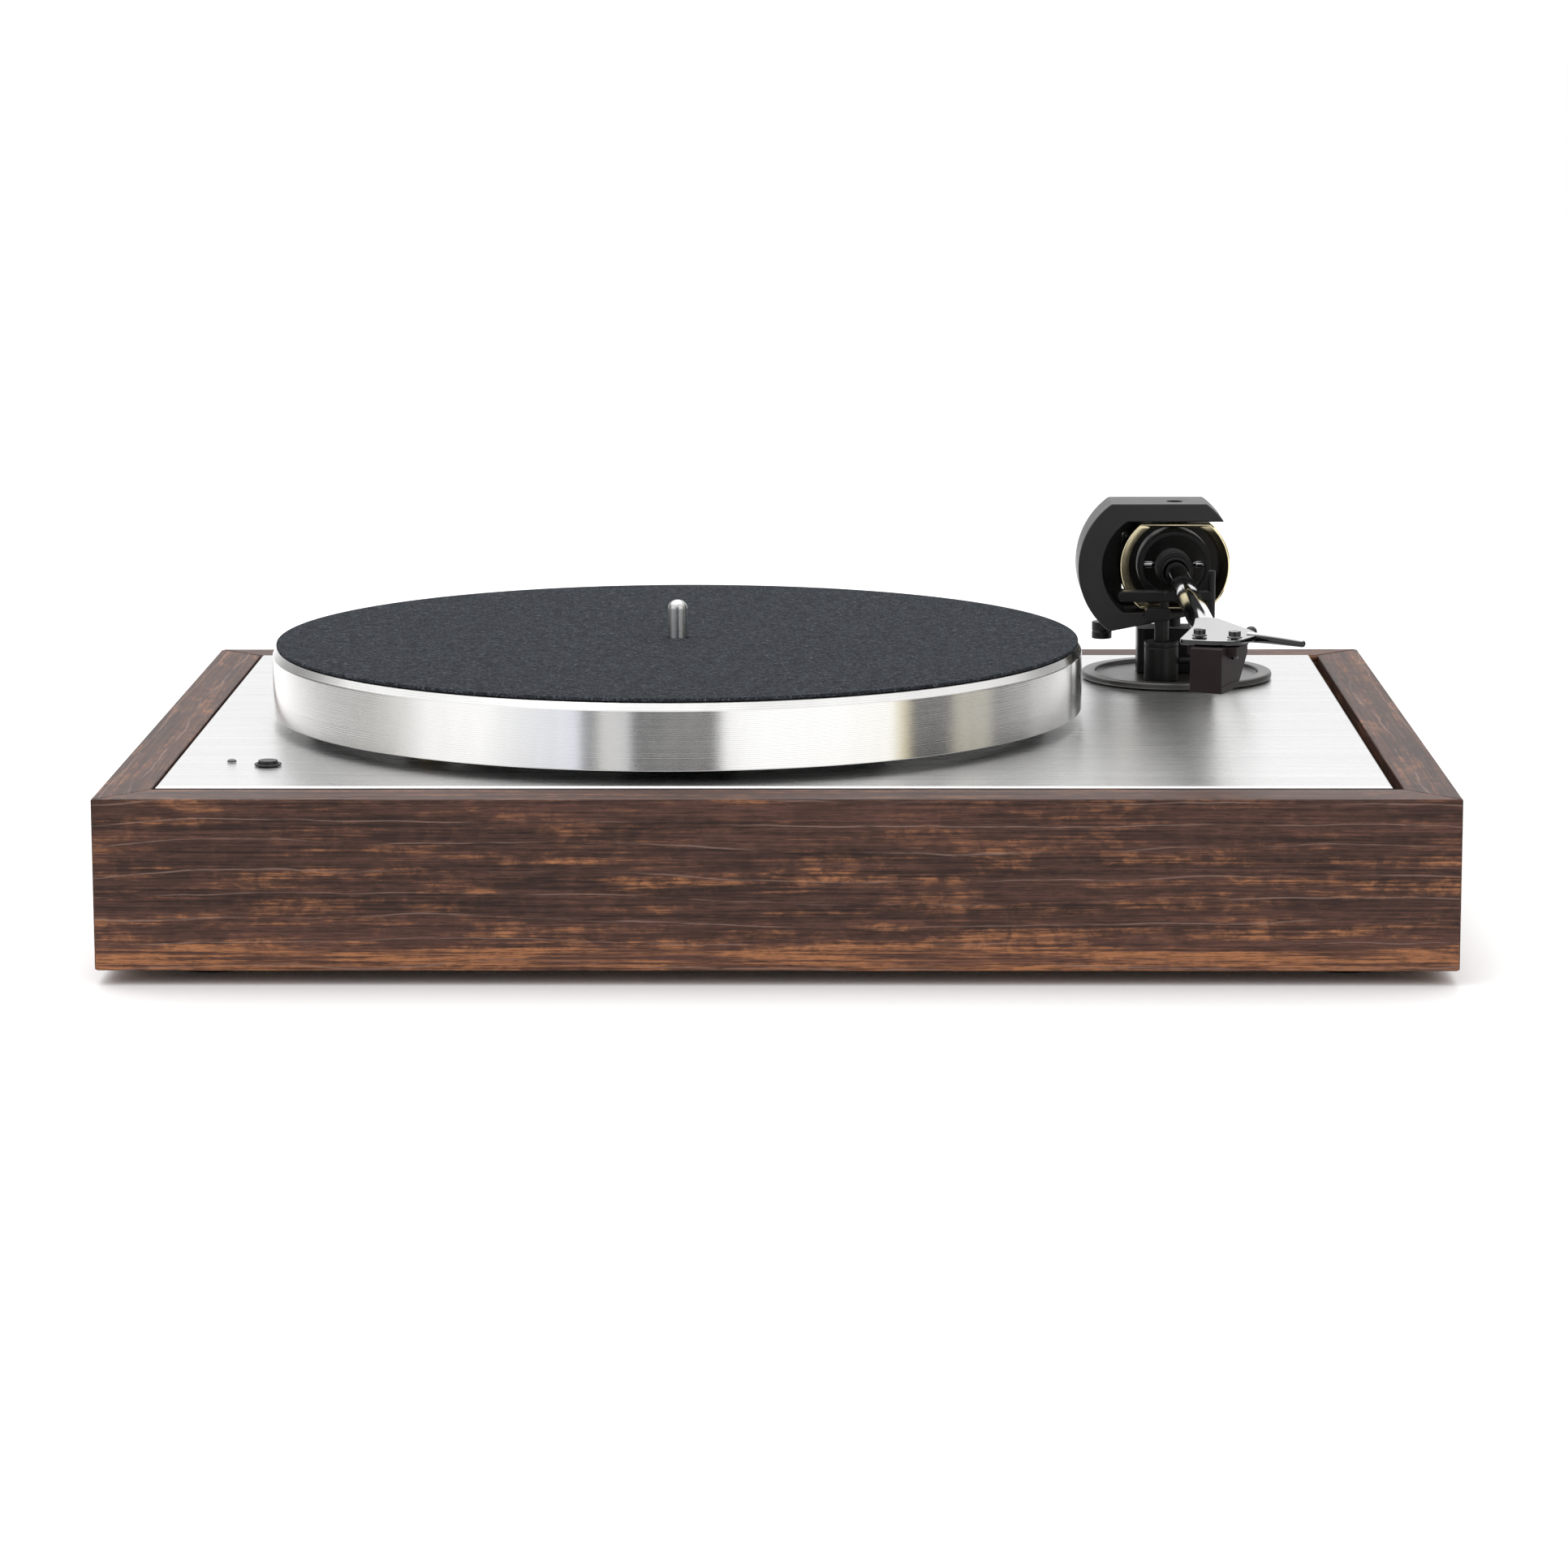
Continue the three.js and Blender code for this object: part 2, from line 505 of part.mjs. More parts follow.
function addYoke() {
  const back = YOKE.front + YOKE.depth;
  const outer = standing(slicedCircle(YOKE.radius, YOKE.top, YOKE.bottom, 16), YOKE.front, back, 1);
  const { radius, top, bottom } = YOKE_WINDOW;
  const opening = standing(slicedCircle(radius, top, bottom, 12, YOKE.radius + 2), YOKE.front - 1, back + 1);
  const lowerEnd = YOKE.x + Math.sqrt(YOKE.radius ** 2 - YOKE.bottom ** 2);
  const shortened = block(
    [lowerEnd, YOKE.front - 1, YOKE.z - YOKE.bottom - 1],
    [YOKE.x + YOKE.radius + 1, back + 1, YOKE.z],
  );
  const bore = rod(SCREW_SIZE.shank + GAP, DECK_Z, DECK_Z + 90, ARM_PIVOT.x, ARM_PIVOT.y);
  const { middle, reach, waist, shoulder, thickness } = YOKE_LIP;
  const left = YOKE.x - radius - 1;
  const floor = YOKE.z - bottom - 1;
  const ceiling = YOKE.z + top + 1;
  const lip = standing([
    [left, floor], [reach, floor], [reach, YOKE.z - shoulder], [middle, YOKE.z - waist],
    [middle, YOKE.z + waist], [reach, YOKE.z + shoulder], [reach, ceiling], [left, ceiling],
  ], back - thickness, back);
  addMesh('yoke', join(cut(outer, opening, shortened, bore), lip), SATIN_BLACK);

  const outside = YOKE.z + YOKE.top;
  const { x, y } = ARM_PIVOT;
  const slot = block([x - 4, y - 0.5, outside - 2.2], [x + 4, y + 0.5, outside]);
  const upper = rod(SCREW_SIZE.shank, ARM_PIVOT.z + GIMBAL.flat + GAP, outside - 1, x, y);
  addMesh('pivot_screw_top', cut(upper, slot), SATIN_BLACK);
  const lower = rod(SCREW_SIZE.shank, YOKE.z - YOKE.bottom + 1, ARM_PIVOT.z - GIMBAL.flat - GAP, x, y);
  addMesh('pivot_screw_bottom', lower, STEEL);
}

function addArmRest() {
  const foot = PLATE.top + ARM_BASE.rimHeight + GAP;
  const post = rod(REST.radius, foot, REST.top, REST.x, REST.y, 16);
  const top = TUBE.z - TUBE.radius - GAP;
  const bottom = top - REST.saddleThickness;
  const end = ARM_PIVOT.x - 5.6;
  const saddle = [
    [end, top - 0.6], [end, bottom + 0.6], [end + 0.6, bottom],
    [REST.x, bottom], [REST.x, top], [end + 0.6, top],
  ];
  const half = REST.saddleDepth / 2;
  addMesh('arm_rest', join(post, standing(saddle, REST.y - half, REST.y + half)), SATIN_BLACK);
}

function addAntiskate() {
  const wire = 0.9;
  const back = YOKE.front + YOKE.depth + GAP;
  const points = [back, back + 4, SKATE.y + 3].map((y) => [SKATE.x, y, SKATE.hookZ]);
  addMesh('antiskate_hook', bar(points, wire, 4, 12), STEEL);

  const thread = 0.35;
  const bottom = SKATE.bottom;
  const top = bottom + SKATE.height;
  const hang = SKATE.hookZ - wire - GAP;
  const weight = [
    [0, bottom], [SKATE.radius - 0.4, bottom], [SKATE.radius, bottom + 0.4], [SKATE.radius, top - 0.4],
    [SKATE.radius - 0.4, top], [thread, top], [thread, hang], [0, hang],
  ];
  addMesh('antiskate_weight', turned(weight, SKATE.x, SKATE.y, 24), SATIN_BLACK);
}

// ---------------------------------------------------------------- arm lift

function addLift() {
  const floor = PLATE.top + ARM_BASE.floor + GAP;
  const bore = LIFT.stem + GAP;
  const cylinder = [
    [0, floor], [LIFT.radius, floor], [LIFT.radius, LIFT.top - 0.6], [LIFT.radius - 0.6, LIFT.top],
    [bore, LIFT.top], [bore, floor + 2], [0, floor + 2],
  ];
  addMesh('lift_cylinder', turned(cylinder, LIFT.x, LIFT.y, 32), SATIN_BLACK);

  const blockBottom = LIFT_BAR.top - 11.4;
  const blockTop = LIFT_BAR.top - 6.6;
  const stem = rod(LIFT.stem, floor + 4, blockBottom + 1, LIFT.x, LIFT.y);
  const head = block([LIFT.x - 6.8, LIFT.y - 3.5, blockBottom], [LIFT.x + 3.4, LIFT.y + 3.5, blockTop]);
  const neck = rod(LIFT.neck, blockTop - 1, LIFT_BAR.top - 3, LIFT.x + 1, LIFT.y);
  addMesh('lift_stem', join(stem, head, neck), SATIN_BLACK);
}

function addLiftBar() {
  const { half, top } = LIFT_BAR;
  const z = top - half;
  const outline = [
    ...arcPoints(LIFT_BAR.left + half, z, half, Math.PI / 2, Math.PI * 1.5, 6),
    ...arcPoints(LIFT_BAR.right - half, z, half, -Math.PI / 2, Math.PI / 2, 6),
  ];
  const rail = standing(outline, LIFT.y - LIFT_BAR.depth / 2, LIFT.y + LIFT_BAR.depth / 2);
  const neckHole = rod(LIFT.neck + GAP, top - 2 * half - 1, top - 3 + GAP, LIFT.x + 1, LIFT.y);
  addMesh('lift_bar', cut(rail, neckHole), SATIN_BLACK);
}

function addLever() {
  const start = LIFT.x + LIFT.radius + GAP;
  const points = [
    [start, LIFT.y, LEVER.z], [LEVER.bendX - 4, LIFT.y, LEVER.z], [LEVER.bendX, LIFT.y - 3, LEVER.z + 1.6],
    [LEVER.knobX, LEVER.knobY + 3, LEVER.knobZ - 1.6],
  ];
  addMesh('cue_lever', bar(points, LEVER.radius, 16), STEEL);
  const knob = addMesh('cue_knob', new THREE.SphereGeometry(2.3, 20, 12), BLACK_PLASTIC);
  knob.position.set(LEVER.knobX, LEVER.knobY, LEVER.knobZ);
}

// ---------------------------------------------------------------- tonearm

// Circle about the arm's pivot with its top and bottom sliced flat.
function gimbalOutline(radius, flat) {
  const upper = Math.asin(flat / radius);
  const right = arcPoints(ARM_PIVOT.x, ARM_PIVOT.z, radius, -upper, upper, 12);
  const left = arcPoints(ARM_PIVOT.x, ARM_PIVOT.z, radius, Math.PI - upper, Math.PI + upper, 12);
  return [...right, ...left];
}

function addGimbal() {
  const front = ARM_PIVOT.y - GIMBAL.depth / 2;
  const back = front + GIMBAL.depth;
  const { chamfer } = GIMBAL;
  const ring = standing(gimbalOutline(GIMBAL.radius, GIMBAL.flat), front, back);
  const hollow = standing(gimbalOutline(GIMBAL.inner, GIMBAL.flat - GIMBAL.wall), front - 1, back + 1);
  const mouthOutline = gimbalOutline(GIMBAL.inner + chamfer, GIMBAL.flat - GIMBAL.wall / 2);
  const mouth = standing(mouthOutline, front - 2 * chamfer, front + chamfer, chamfer);
  addMesh('gimbal_ring', cut(ring, hollow, mouth), GOLDEN);

  const cradleFront = ARM_PIVOT.y - CRADLE.depth / 2;
  const cradle = [
    [CRADLE.inner, cradleFront], [CRADLE.radius, cradleFront], [CRADLE.radius, cradleFront + CRADLE.depth],
    [CRADLE.inner, cradleFront + CRADLE.depth], [CRADLE.inner, cradleFront],
  ];
  addMesh('gimbal_cradle', turnedAlongY(cradle, ARM_PIVOT.x, ARM_PIVOT.z), SATIN_BLACK);

  const inner = HUB.radius + GAP;
  const outer = CRADLE.inner - GAP;
  const pin = [[0, inner], [0.4, inner], [PIN_RADIUS, inner + 1.2], [PIN_RADIUS, outer], [0, outer]];
  for (const [name, side] of [['gimbal_pin_left', -1], ['gimbal_pin_right', 1]]) {
    const pointed = turnedAlongY(pin, 0, 0, 12).rotateZ(-side * Math.PI / 2);
    addMesh(name, pointed, STEEL).position.set(ARM_PIVOT.x, ARM_PIVOT.y, ARM_PIVOT.z);
  }
}

function addArmTube() {
  const hub = [
    [HUB.bore, HUB.front], [HUB.nose, HUB.front], [HUB.nose, HUB.step], [HUB.radius, HUB.step],
    [HUB.radius, HUB.back], [HUB.bore, HUB.back], [HUB.bore, HUB.front],
  ];
  addMesh('arm_hub', turnedAlongY(hub, ARM_PIVOT.x, TUBE.z, 32), SATIN_BLACK);

  const inner = TUBE.radius - TUBE.wall;
  const tube = [
    [inner, TUBE.front], [TUBE.radius, TUBE.front], [TUBE.radius, TUBE.back],
    [inner, TUBE.back], [inner, TUBE.front],
  ];
  addMesh('arm_tube', turnedAlongY(tube, ARM_PIVOT.x, TUBE.z, 24), CHROME);
}

function addBalance() {
  const flange = HUB.back + GAP;
  const shank = flange + STUB.flangeThickness;
  const stub = [
    [0, flange], [STUB.flange, flange], [STUB.flange, shank], [STUB.radius, shank],
    [STUB.radius, STUB.back - 0.6], [STUB.radius - 0.6, STUB.back], [0, STUB.back],
  ];
  addMesh('arm_stub', turnedAlongY(stub, ARM_PIVOT.x, TUBE.z, SMALL), STEEL);

  const { radius, bore, front, back, edge } = COUNTERWEIGHT;
  const profile = [
    [bore, front], [radius - edge, front], [radius, front + edge], [radius, back - edge],
    [radius - edge, back], [bore, back], [bore, front],
  ];
  addMesh('counterweight', turnedAlongY(profile, ARM_PIVOT.x, TUBE.z), SATIN_BLACK);
}

// Everything on the angled headshell is drawn with +Y forward, then turned to the offset angle.
function headPlace(geometry) {
  const angle = THREE.MathUtils.degToRad(180 - HEAD.offsetAngle);
  return geometry.rotateZ(angle).translate(HEAD.x, HEAD.y, 0);
}

function addHeadshell() {
  const bottom = HEAD.top - HEAD.thickness;
  const rear = TUBE.front - GAP;
  const plate = slab([
    [146.8, rear], [145, -98], [138.3, -129.5], [138.6, -132], [141, -133.4], [150, -136.6], [156.4, -136.9],
    [159.2, -134.6], [165.4, -122.8], [165.6, -114], [160.6, -97], [154.8, rear],
  ], bottom, HEAD.top);
  const half = CARTRIDGE_SCREW_SPACING / 2;
  const holes = [-half, half].map((x) => headPlace(rod(1.6, bottom - 1, HEAD.top + 1, x, 0, 16)));
  addMesh('headshell', cut(plate, ...holes), CHROME);

  // In the head's own axes the finger side is -X.
  const z = HEAD.top - 1;
  const route = [[-11.2, -12.4, z], [-16, -12.1, z - 0.3], [-22, -11.6, z - 0.7], [-28.2, -11, z - 1.1]];
  addMesh('finger_lift', headPlace(bar(route, FINGER_LIFT_RADIUS, 6, 12)), CHROME);

  for (const [name, side] of [['head_screw_left', 1], ['head_screw_right', -1]]) {
    const x = side * half;
    const head = HEAD.top + GAP;
    const screw = [
      [0, bottom - SCREW_REACH], [1.2, bottom - SCREW_REACH], [1.2, head], [SCREW_SIZE.head, head],
      [SCREW_SIZE.head, head + 2.4], [0, head + 2.4],
    ];
    const slot = block([x - 3, -0.35, head + 1.5], [x + 3, 0.35, head + 3]);
    addMesh(name, headPlace(cut(turned(screw, x, 0, 16), slot)), STEEL);
  }
}

function addCartridge() {
  const top = HEAD.top - HEAD.thickness - GAP;
  const { bottom, width, earWidth, earDepth, earHeight } = CARTRIDGE;
  const side = shapeOf([
    [11.5, bottom], [11.5, top], [-16, top], [-16, top - 4.5], [-7, bottom + 1.6], [2, bottom],
  ]);
  const core = new THREE.ExtrudeGeometry(side, { depth: width, bevelEnabled: false });
  core.rotateX(Math.PI / 2).rotateZ(Math.PI / 2).translate(-width / 2, 0, 0);
  const ears = block([-earWidth / 2, -earDepth / 2, top - earHeight], [earWidth / 2, earDepth / 2, top]);
  const half = CARTRIDGE_SCREW_SPACING / 2;
  const holes = [-half, half].map((x) => rod(1.5, top - SCREW_REACH - 1, top + 1, x, 0, 16));
  const notch = block([-2, STYLUS.reach - 6, bottom - 1], [2, STYLUS.reach + 1.2, bottom + 1.6]);
  addMesh('cartridge_body', headPlace(cut(join(core, ears), ...holes, notch)), CARTRIDGE_BROWN);
}

function addStylus() {
  const tipBase = STYLUS.tip + 0.8;
  const rear = [0, STYLUS.reach - 5.4, CARTRIDGE.bottom + 0.7];
  const front = [0, STYLUS.reach, tipBase];
  const middle = rear.map((value, k) => (value + front[k]) / 2);
  const cantilever = bar([rear, middle, front], STYLUS.radius, 2, 8);
  const point = [[0, STYLUS.tip], [0.3, tipBase], [0, tipBase + 0.2]];
  const diamond = turned(point, 0, STYLUS.reach - 0.2, 8);
  addMesh('stylus', headPlace(join(cantilever, diamond)), STEEL);
}

addPlinth();
addFloorAndFeet();
addDeck();
addBearing();
addPlatter();
addDrive();
addControls();
addControlBoard();
addRearPanel();
addArmBase();
addYoke();
addArmRest();
addAntiskate();
addLift();
addLiftBar();
addLever();
addGimbal();
addArmTube();
addBalance();
addHeadshell();
addCartridge();
addStylus();

export default model;
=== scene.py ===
"""Looks of a belt-drive record player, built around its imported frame.

Every piece is placed from the frame's own boxes, in metres, +Z up, with the arm on the right.
"""

from __future__ import annotations

import json
import logging
import math
from dataclasses import dataclass
from enum import Enum
from typing import Callable, Iterable, Sequence

import bmesh
import bpy
from mathutils import Matrix, Vector

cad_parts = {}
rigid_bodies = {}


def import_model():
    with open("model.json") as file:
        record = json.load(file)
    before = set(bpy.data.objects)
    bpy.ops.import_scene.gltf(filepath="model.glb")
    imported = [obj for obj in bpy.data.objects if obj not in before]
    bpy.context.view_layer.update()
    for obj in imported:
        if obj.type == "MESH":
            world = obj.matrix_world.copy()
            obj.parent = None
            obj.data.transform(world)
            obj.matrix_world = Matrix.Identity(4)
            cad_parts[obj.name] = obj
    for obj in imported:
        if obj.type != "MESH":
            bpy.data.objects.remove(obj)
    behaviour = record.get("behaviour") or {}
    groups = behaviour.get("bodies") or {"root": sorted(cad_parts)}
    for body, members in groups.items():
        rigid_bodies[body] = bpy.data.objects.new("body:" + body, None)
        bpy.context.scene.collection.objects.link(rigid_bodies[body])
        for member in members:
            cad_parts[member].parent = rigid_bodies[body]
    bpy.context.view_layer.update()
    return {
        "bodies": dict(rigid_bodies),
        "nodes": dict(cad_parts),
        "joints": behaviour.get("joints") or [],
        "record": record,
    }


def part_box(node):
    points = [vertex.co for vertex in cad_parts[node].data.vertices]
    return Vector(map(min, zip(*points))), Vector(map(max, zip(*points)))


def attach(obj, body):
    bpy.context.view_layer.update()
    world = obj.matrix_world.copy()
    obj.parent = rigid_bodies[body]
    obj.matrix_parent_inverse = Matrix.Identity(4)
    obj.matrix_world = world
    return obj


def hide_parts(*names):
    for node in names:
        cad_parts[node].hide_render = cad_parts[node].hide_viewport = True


LOG = logging.getLogger("record_player")

Point2 = tuple[float, float]
Point3 = tuple[float, float, float]
Colour = tuple[float, float, float]
Raised = tuple[Sequence[Point2], float, float, Matrix]

MM = 0.001

# degrees between two faces: edges beyond the first are softened, edges beyond the second stay sharp
BEVEL_ANGLE = 32
SHARP_ANGLE = 42

# CAD nodes that wear another finish than their slot's own
OTHER_FINISH = {
    "plinth_left": "veneer_side", "plinth_right": "veneer_side", "pivot_screw_bottom": "deep_black",
}


# ---------------------------------------------------------------- shader maths


class Signal:
    """A shader value that ordinary arithmetic turns into Math nodes."""

    def __init__(self, graph: Graph, socket: bpy.types.NodeSocket) -> None:
        """Keeps the graph and the output socket that the value comes from."""
        self.graph = graph
        self.socket = socket

    def _math(self, operation: str, *values: Signal | float) -> Signal:
        """Adds one Math node.

        Args:
            operation: the node's operation.
            values: its operands, in order.

        Returns:
            The node's value.
        """
        operands = dict(enumerate(values))
        return self.graph.node("ShaderNodeMath", {"operation": operation}, operands)

    def __add__(self, other: Signal | float) -> Signal:
        """Sum."""
        return self._math("ADD", self, other)

    def __radd__(self, other: float) -> Signal:
        """Sum, with the number on the left."""
        return self._math("ADD", other, self)

    def __sub__(self, other: Signal | float) -> Signal:
        """Difference."""
        return self._math("SUBTRACT", self, other)

    def __rsub__(self, other: float) -> Signal:
        """Difference, with the number on the left."""
        return self._math("SUBTRACT", other, self)

    def __mul__(self, other: Signal | float) -> Signal:
        """Product."""
        return self._math("MULTIPLY", self, other)

    def __rmul__(self, other: float) -> Signal:
        """Product, with the number on the left."""
        return self._math("MULTIPLY", other, self)

    def __truediv__(self, other: Signal | float) -> Signal:
        """Quotient."""
        return self._math("DIVIDE", self, other)

    def __rtruediv__(self, other: float) -> Signal:
        """Quotient, with the number on the left."""
        return self._math("DIVIDE", other, self)

    def __abs__(self) -> Signal:
        """Size without sign."""
        return self._math("ABSOLUTE", self)

    def fraction(self) -> Signal:
        """What is left after the whole number."""
        return self._math("FRACT", self)

    def step(self, low: float, high: float) -> Signal:
        """Rises smoothly from 0 at low to 1 at high.

        Args:
            low: where the rise begins.
            high: where it ends.

        Returns:
            The eased value.
        """
        settings = {"interpolation_type": "SMOOTHSTEP", "clamp": True}
        return self.graph.node("ShaderNodeMapRange", settings, {0: self, 1: low, 2: high, 3: 0.0, 4: 1.0})


class Graph:
    """A node tree and the ways to add to it."""

    def __init__(self, tree: bpy.types.NodeTree) -> None:
        """Keeps the tree that nodes are added to."""
        self.tree = tree

    def node(
        self, kind: str, settings: dict | None = None, inputs: dict | None = None, output: int | str = 0
    ) -> Signal:
        """Adds one node.

        Args:
            kind: the node's type.
            settings: its properties, set first; "stops" are a ramp's positions and colours.
            inputs: values or signals by socket name or number.
            output: the output socket to hand back.

        Returns:
            The chosen output.
        """
        made = self.tree.nodes.new(kind)
        for key, value in (settings or {}).items():
            if key == "stops":
                self.set_stops(made, value)
            else:
                setattr(made, key, value)
        for key, value in (inputs or {}).items():
            self._feed(made.inputs[key], value)
        return Signal(self, made.outputs[output])

    @staticmethod
    def set_stops(ramp: bpy.types.Node, stops: Sequence[tuple[float, Colour]]) -> None:
        """Gives a colour ramp its stops.

        Args:
            ramp: the ramp's node.
            stops: the positions from 0 to 1, with their colours.
        """
        elements = ramp.color_ramp.elements
        while len(elements) < len(stops):
            elements.new(1.0)
        for element, (position, colour) in zip(elements, stops):
            element.position = position
            element.color = (*colour, 1.0)

    def _feed(self, socket: bpy.types.NodeSocket, value: Signal | float | Sequence[float]) -> None:
        """Links a signal to a socket, or sets the socket's own value.

        Args:
            socket: what takes the value.
            value: a signal, a number or a row of numbers.
        """
        if isinstance(value, Signal):
            self.tree.links.new(value.socket, socket)
        else:
            socket.default_value = value

    def place(self, scale: Point3) -> Signal:
        """The piece's own coordinates in metres, times scale along each axis."""
        own = self.node("ShaderNodeTexCoord", output="Object")
        return self.node("ShaderNodeVectorMath", {"operation": "MULTIPLY"}, {0: own, 1: scale})

    def split(self, vector: Signal) -> tuple[Signal, Signal, Signal]:
        """The three numbers of a vector."""
        parts = self.node("ShaderNodeSeparateXYZ", None, {0: vector})
        return tuple(Signal(self, socket) for socket in parts.socket.node.outputs)

    def noise(
        self, scale: float | Point3, detail: float = 3.0, rough: float = 0.5, warp: float = 0.0
    ) -> Signal:
        """Smooth noise from 0 to 1.

        Args:
            scale: features per metre, everywhere or along each axis.
            detail: octaves.
            rough: how strong each finer octave is.
            warp: how far the pattern is bent by itself.

        Returns:
            The noise value.
        """
        where = self.place(scale if isinstance(scale, tuple) else (scale, scale, scale))
        inputs = {"Vector": where, "Scale": 1.0, "Detail": detail, "Roughness": rough, "Distortion": warp}
        return self.node("ShaderNodeTexNoise", None, inputs)

    def blend(self, share: Signal | float, first: Signal | Colour, second: Signal | Colour) -> Signal:
        """Mixes two colours; share 1 is all of the second."""
        colours = [value if isinstance(value, Signal) else (*value, 1.0) for value in (first, second)]
        return self.node("ShaderNodeMix", {"data_type": "RGBA"}, {0: share, 6: colours[0], 7: colours[1]}, 2)


class Surface(Graph):
    """A material with one shader, and the nodes that make its finish."""

    def __init__(self, name: str) -> None:
        """Starts a material named name."""
        self.material = bpy.data.materials.new(name)
        self.material.use_nodes = True
        super().__init__(self.material.node_tree)
        self.tree.nodes.clear()
        self.shader = self.tree.nodes.new("ShaderNodeBsdfPrincipled")
        output = self.tree.nodes.new("ShaderNodeOutputMaterial")
        self.tree.links.new(self.shader.outputs[0], output.inputs[0])

    def dress(self, values: dict[str, Signal | float | Colour]) -> None:
        """Sets the shader's own sockets.

        Args:
            values: numbers, colours or signals by socket name.
        """
        for key, value in values.items():
            plain_colour = key.endswith("Color") and not isinstance(value, Signal)
            self._feed(self.shader.inputs[key], (*value, 1.0) if plain_colour else value)

    def emboss(self, height: Signal, depth: float, strength: float = 1.0) -> None:
        """Feeds the normal from a height.

        Args:
            height: the relief's height.
            depth: metres for each unit of height.
            strength: how much of it shows.
        """
        inputs = {"Strength": strength, "Distance": depth, "Height": height}
        self.dress({"Normal": self.node("ShaderNodeBump", None, inputs)})


# ---------------------------------------------------------------- finishes


def scaled(colour: Colour, factor: float) -> Colour:
    """A colour made lighter or darker by a factor."""
    return tuple(factor * value for value in colour)


@dataclass(frozen=True)
class Finish:
    """A named finish with a main colour; each kind paints its own surface."""

    name: str
    colour: Colour

    def build(self) -> bpy.types.Material:
        """Makes the material.

        Returns:
            The finished material.
        """
        graph = Surface(self.name)
        self.paint(graph)
        return graph.material

    def paint(self, graph: Surface) -> None:
        """Makes the finish's nodes in an empty surface."""
        raise NotImplementedError


class Grain(Enum):
    """The way the fibres of a board run, as features per metre: slow along the board."""

    ALONG_X = (1.0, 40.0, 40.0)
    ALONG_Y = (40.0, 1.0, 40.0)


@dataclass(frozen=True)
class Veneer(Finish):
    """Dark smoked veneer: fine streaks, mottled orange figure and thin pale growth lines."""

    name: str = "veneer"
    colour: Colour = (0.108, 0.049, 0.036)
    grain: Grain = Grain.ALONG_X
    dark: Colour = (0.021, 0.0098, 0.0078)
    glow: Colour = (0.36, 0.150, 0.066)
    pale: Colour = (0.24, 0.155, 0.125)
    low_band: float = 0.008
    high_band: float = 0.030
    belt: float = 0.038
    foot_low: float = 0.011
    foot_high: float = 0.015
    foot_glow: float = 0.34
    figure_gain: float = 1.35
    lines_per_metre: float = 118.0
    line_wander: float = 2.4
    line_spread: float = 0.9
    line_strength: float = 0.6
    pore_strength: float = 0.5
    relief: float = 0.00005

    def _scale(self, along: float, across: float) -> Point3:
        """Noise scale with the given features per metre along and across the grain."""
        return tuple(along if value == 1.0 else across for value in self.grain.value)

    def _lines(self, graph: Graph, across: Signal) -> Signal:
        """Thin broken growth lines that wander along the board.

        Args:
            graph: the surface they belong to.
            across: distance across the lines in metres.

        Returns:
            1 on a line, 0 between lines.
        """
        wander = graph.noise(self._scale(4, 9), 4, 0.6)
        spread = graph.noise(self._scale(0.6, 55), 1, 0.5)
        breaks = graph.noise(self._scale(22, 120), 2, 0.5).step(0.38, 0.58)
        bent = across * self.lines_per_metre + wander * self.line_wander
        phase = (bent + spread * self.line_spread).fraction()
        return (1.0 - abs(phase - 0.5).step(0.01, 0.045)) * breaks

    def _figure(self, graph: Graph, height: Signal, lower: Signal, threads: Signal, mottle: Signal) -> Signal:
        """The orange figure, strongest low down, in a belt and along the very foot.

        Args:
            graph: the surface it belongs to.
            height: height on the board in metres.
            lower: 1 on the lower part of the board.
            threads: the fine streaks.
            mottle: the cloudy pattern.

        Returns:
            How much of the glow shows.
        """
        patches = graph.noise(self._scale(24, 230), 5, 0.62, 0.3)
        belt = 1.0 - abs(height - self.belt).step(0.002, 0.012)
        share = 0.42 + 0.55 * lower + 0.25 * belt
        figure = (0.35 + 0.65 * mottle.step(0.36, 0.64)) * (0.25 + 0.95 * threads.step(0.36, 0.66))
        foot = 1.0 - height.step(self.foot_low, self.foot_high)
        lit = patches.step(0.40, 0.66) * figure * share
        return lit + self.foot_glow * foot * threads.step(0.36, 0.62)

    def paint(self, graph: Surface) -> None:
        """Lays streaks, figure, growth lines and pores over each other.

        Args:
            graph: the surface that takes them.
        """
        x, y, height = graph.split(graph.place((1.0, 1.0, 1.0)))
        across = height + (y if self.grain is Grain.ALONG_X else x)
        streaks = graph.noise(self._scale(8, 260), 4, 0.65, 0.2)
        threads = graph.noise(self._scale(18, 1100), 4, 0.65)
        mottle = graph.noise(self._scale(150, 210), 3, 0.65, 0.4)
        fibres = graph.noise(self._scale(150, 2800), 2, 0.6)

        lower = 1.0 - height.step(self.low_band, self.high_band)
        tone = streaks.step(0.38, 0.64) * 0.4 + threads.step(0.42, 0.6) * 0.4
        tone = tone + mottle.step(0.38, 0.66) * 0.2 + 0.35 * lower
        base = graph.blend(tone, self.dark, self.colour)
        lit = self._figure(graph, height, lower, threads, mottle)
        warm = graph.blend((lit * self.figure_gain).step(0.0, 1.0), base, self.glow)
        lined = graph.blend(self._lines(graph, across) * self.line_strength, warm, self.pale)
        pores = (1.0 - fibres.step(0.34, 0.5)) * self.pore_strength
        shaded = graph.blend(pores, lined, scaled(self.dark, 0.45))
        graph.dress({"Base Color": shaded, "Roughness": 0.42 + 0.14 * streaks, "Specular IOR Level": 0.2})
        graph.emboss(fibres + 0.6 * threads, self.relief, 0.4)


